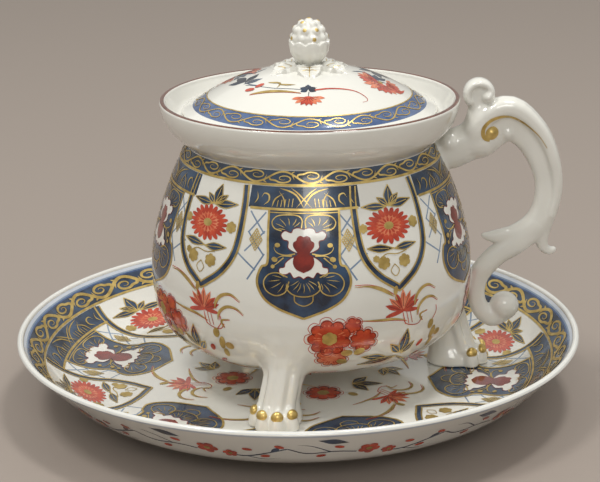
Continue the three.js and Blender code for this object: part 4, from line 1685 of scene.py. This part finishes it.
def make_feet():
    """Three paw feet with gilded claws, turned to where the CAD feet stand."""
    clay = foot_clay()
    for node in FEET:
        low, high = box_mm(node)
        middle = (low + high) / 2
        turn = math.atan2(middle.y - bowl_axis.y, middle.x - bowl_axis.x)
        clay.bowl_piece(f"{node}_paw", node, turn)
        gilded(f"{node}_claws", "bowl", *claws(turn), CREASE)


def knob_places():
    """Middles and outward directions of the knobs on the bud, in the finial's own place."""
    places = []
    for row, (degrees, count, radius) in enumerate(KNOBS):
        up = math.radians(degrees)
        for i in range(count):
            around = 2 * math.pi * (i + 0.5 * (row % 2) + KNOB_TURN) / count
            out = Vector((math.cos(up) * math.cos(around), math.cos(up) * math.sin(around), math.sin(up)))
            middle = Vector((0, 0, BUD_HEIGHT)) + BUD_RADII * out - out * radius * KNOB_SINK
            places.append((middle, out, radius))
    return places


def finial_clay():
    """The bud in its scalloped calyx, above the dome's top."""
    clay = Clay(FINIAL_LOW, FINIAL_HIGH, FINIAL_GRAIN)
    points = clay.points
    height = points[..., 2]
    around = np.arctan2(points[..., 1], points[..., 0])
    petal = np.abs(np.cos(CALYX_PETALS * around / 2))
    radius = np.interp(height, *zip(*CALYX))
    radius = radius * (CALYX_WAIST + CALYX_SWELL * petal * np.clip(height / CALYX_RIM, 0, 1))
    away = (np.hypot(points[..., 0], points[..., 1]) - radius) * CALYX_SLOPE
    rim = CALYX_RIM + CALYX_SCALLOP * (petal ** SCALLOP_ROUNDNESS - SCALLOP_ROUNDNESS)
    clay.field = np.maximum(away, height - rim)
    clay.join(ball_field(points, (0, 0, BUD_HEIGHT), BUD_RADII), BUD_JOIN)
    for middle, _, size in knob_places():
        clay.join(ball_field(points, middle, (size, size, size)), KNOB_JOIN)
    return clay


def make_finial():
    """The bud knob and the gilding on its knobs."""
    body, seat = LID_PLACE
    base = seat + Vector((0, 0, DOME_TOP))
    vertices, faces = finial_clay().skin()
    glazed(mesh_object("finial_bud", [base + Vector(v) for v in vertices], faces.tolist()), body, "finial")
    points = []
    caps = []
    rows, columns = 5, 12
    for i, (middle, out, size) in enumerate(knob_places()):
        if i % 5 in BARE_KNOBS:
            continue
        caps += grid_faces(rows, columns, len(points), closed=True, flipped=True)
        tilt = out.to_track_quat("Z", "Y").to_matrix()
        for row in range(rows):
            share = row / (rows - 1)
            reach = CAP_REACH * share
            rise = math.sqrt(size * size - reach * reach) + GILT_LIFT * (1 - share ** 4) - CAP_SINK
            for column in range(columns):
                rim = polar_point(reach, 360 * column / columns)
                points.append(base + middle + tilt @ Vector((*rim, rise)))
    gilded("finial_gilding", body, points, caps)


def on_dome(share, across, height, azimuth):
    """A place on a relief leaf: the share of its length, how far aside, and how high above the dome."""
    along = LEAF_START + LEAF_LENGTH * share
    radius = dome_radius() + height
    tilt = along / dome_radius()
    turn = azimuth + across / along
    return LID_PLACE[1] + Vector((
        radius * math.sin(tilt) * math.cos(turn),
        radius * math.sin(tilt) * math.sin(turn),
        DOME_TOP - dome_radius() + radius * math.cos(tilt),
    ))


def leaf_width(share):
    """Half the width of a relief leaf at a share of its length, with a wavy edge."""
    body = math.sin(math.pi * min(max(share, 0), 1) ** 0.72) ** 0.75
    return LEAF_HALF_WIDTH * body * (1 + LEAF_EDGE_WAVE * math.cos(6.5 * math.pi * share)) + 0.15


def leaf_height(share, across):
    """The relief of a leaf: raised, curling edges, a groove down the middle and fine side veins."""
    swell = math.sin(math.pi * min(share + 0.16, 1)) ** 0.6
    edge = 1 - LEAF_CURL + LEAF_CURL * abs(across) ** 1.5
    groove = LEAF_GROOVE * math.exp(-((across / LEAF_GROOVE_WIDTH) ** 2))
    ribs = LEAF_RIB_HEIGHT * math.cos(2 * math.pi * (LEAF_RIBS * share - LEAF_RIB_SLANT * abs(across)))
    return LEAF_THICKNESS * swell * edge - groove + ribs


def vein_strokes():
    """The veins of a leaf, as shares of its length with the place across it from -1 to 1."""
    start, end = MIDDLE_VEIN
    strokes = [[(start + (end - start) * t / 12, 0) for t in range(13)]]
    for side in (-1, 1):
        for start in SIDE_VEIN_STARTS:
            shares = [t / 6 for t in range(7)]
            strokes.append([(start + SIDE_VEIN_LENGTH * t, side * SIDE_VEIN_REACH * t) for t in shares])
    return strokes


def leaf_relief(azimuth):
    """The vertices of one relief leaf, row by row from its foot, with its edges sunk into the dome."""
    rows, columns = LEAF_GRID
    points = []
    for row in range(rows):
        share = row / (rows - 1)
        for column in range(columns):
            across = 2 * column / (columns - 1) - 1
            inner = 0 < row < rows - 1 and 0 < column < columns - 1
            height = leaf_height(share, across) if inner else -LEAF_SINK
            points.append(on_dome(share, across * leaf_width(share), height, azimuth))
    return points


def vein_ribbon(stroke, azimuth):
    """The vertices along both sides of one gilt vein."""
    points = []
    for t, (share, across) in enumerate(stroke):
        half = VEIN_HALF_WIDTH * (1 - VEIN_TAPER * t / len(stroke))
        for edge in (-half, half):
            place = across * leaf_width(share) + edge
            height = leaf_height(share, place / leaf_width(share)) + GILT_LIFT
            points.append(on_dome(share, place, height, azimuth))
    return points


def make_leaves():
    """The relief leaves round the finial, with gold along their veins."""
    veins = []
    vein_faces = []
    for i in range(LEAF_COUNT):
        azimuth = 2 * math.pi * (i + 0.5) / LEAF_COUNT
        faces = grid_faces(*LEAF_GRID, flipped=True)
        relief = mesh_object(f"leaf_relief_{i + 1}", leaf_relief(azimuth), faces, LEAF_CREASE)
        glazed(relief, "lid", f"leaf_{i + 1}")
        for stroke in vein_strokes():
            vein_faces += grid_faces(len(stroke), 2, len(veins), flipped=True)
            veins += vein_ribbon(stroke, azimuth)
    gilded("leaf_veins", "lid", veins, vein_faces)


def add_camera():
    """The camera that sees the set as the photograph does."""
    data = bpy.data.cameras.new("camera")
    data.lens = CAMERA_LENS
    data.sensor_width = CAMERA_SENSOR
    camera = bpy.data.objects.new("camera", data)
    camera.location = CAMERA_PLACE
    down = Matrix.Rotation(math.pi / 2 - CAMERA_PITCH, 3, "X")
    camera.rotation_euler = (down @ Matrix.Rotation(-CAMERA_ROLL, 3, "Z")).to_euler()
    bpy.context.collection.objects.link(camera)
    bpy.context.scene.camera = camera


def add_light(kind, name, place, strength):
    """A light that faces the middle of the set."""
    data = bpy.data.lights.new(name, kind)
    data.energy = strength
    data.color = LAMP_COLOUR
    lamp = bpy.data.objects.new(name, data)
    lamp.location = place
    lamp.rotation_euler = (LAMP_AIM - lamp.location).to_track_quat("-Z", "Y").to_euler()
    bpy.context.collection.objects.link(lamp)
    return data


def add_lights():
    """Soft lamps over and before the set, and wide even light that keeps the floor's tone far behind it."""
    for name, (place, side, power) in LAMPS.items():
        add_light("AREA", name, place, power).size = side
    add_light("SUN", "daylight", (0, 0, DAYLIGHT_HEIGHT), DAYLIGHT_STRENGTH).angle = DAYLIGHT_SPREAD


def add_studio():
    """A pale warm floor and an even surrounding light."""
    side = FLOOR_HALF_SIDE
    corners = [(-side, -side), (side, -side), (side, side), (-side, side)]
    mesh = bpy.data.meshes.new("floor")
    mesh.from_pydata([(x, y, -FLOOR_DROP) for x, y in corners], [], [(0, 1, 2, 3)])
    mesh.materials.append(material("floor", FLOOR_COLOUR, FLOOR_ROUGHNESS))
    floor = bpy.data.objects.new("floor", mesh)
    bpy.context.collection.objects.link(floor)
    world = bpy.data.worlds.new("studio")
    world.use_nodes = True
    background = world.node_tree.nodes["Background"]
    background.inputs["Color"].default_value = (*WORLD_COLOUR, 1)
    background.inputs["Strength"].default_value = WORLD_STRENGTH
    bpy.context.scene.world = world
    bpy.context.scene.view_settings.view_transform = "Standard"


make_saucer()
make_bowl()
make_lid()
make_handle()
make_feet()
make_finial()
make_leaves()
paint_bowl()
paint_saucer()
paint_saucer_outside()
paint_lid()
add_camera()
add_studio()
add_lights()
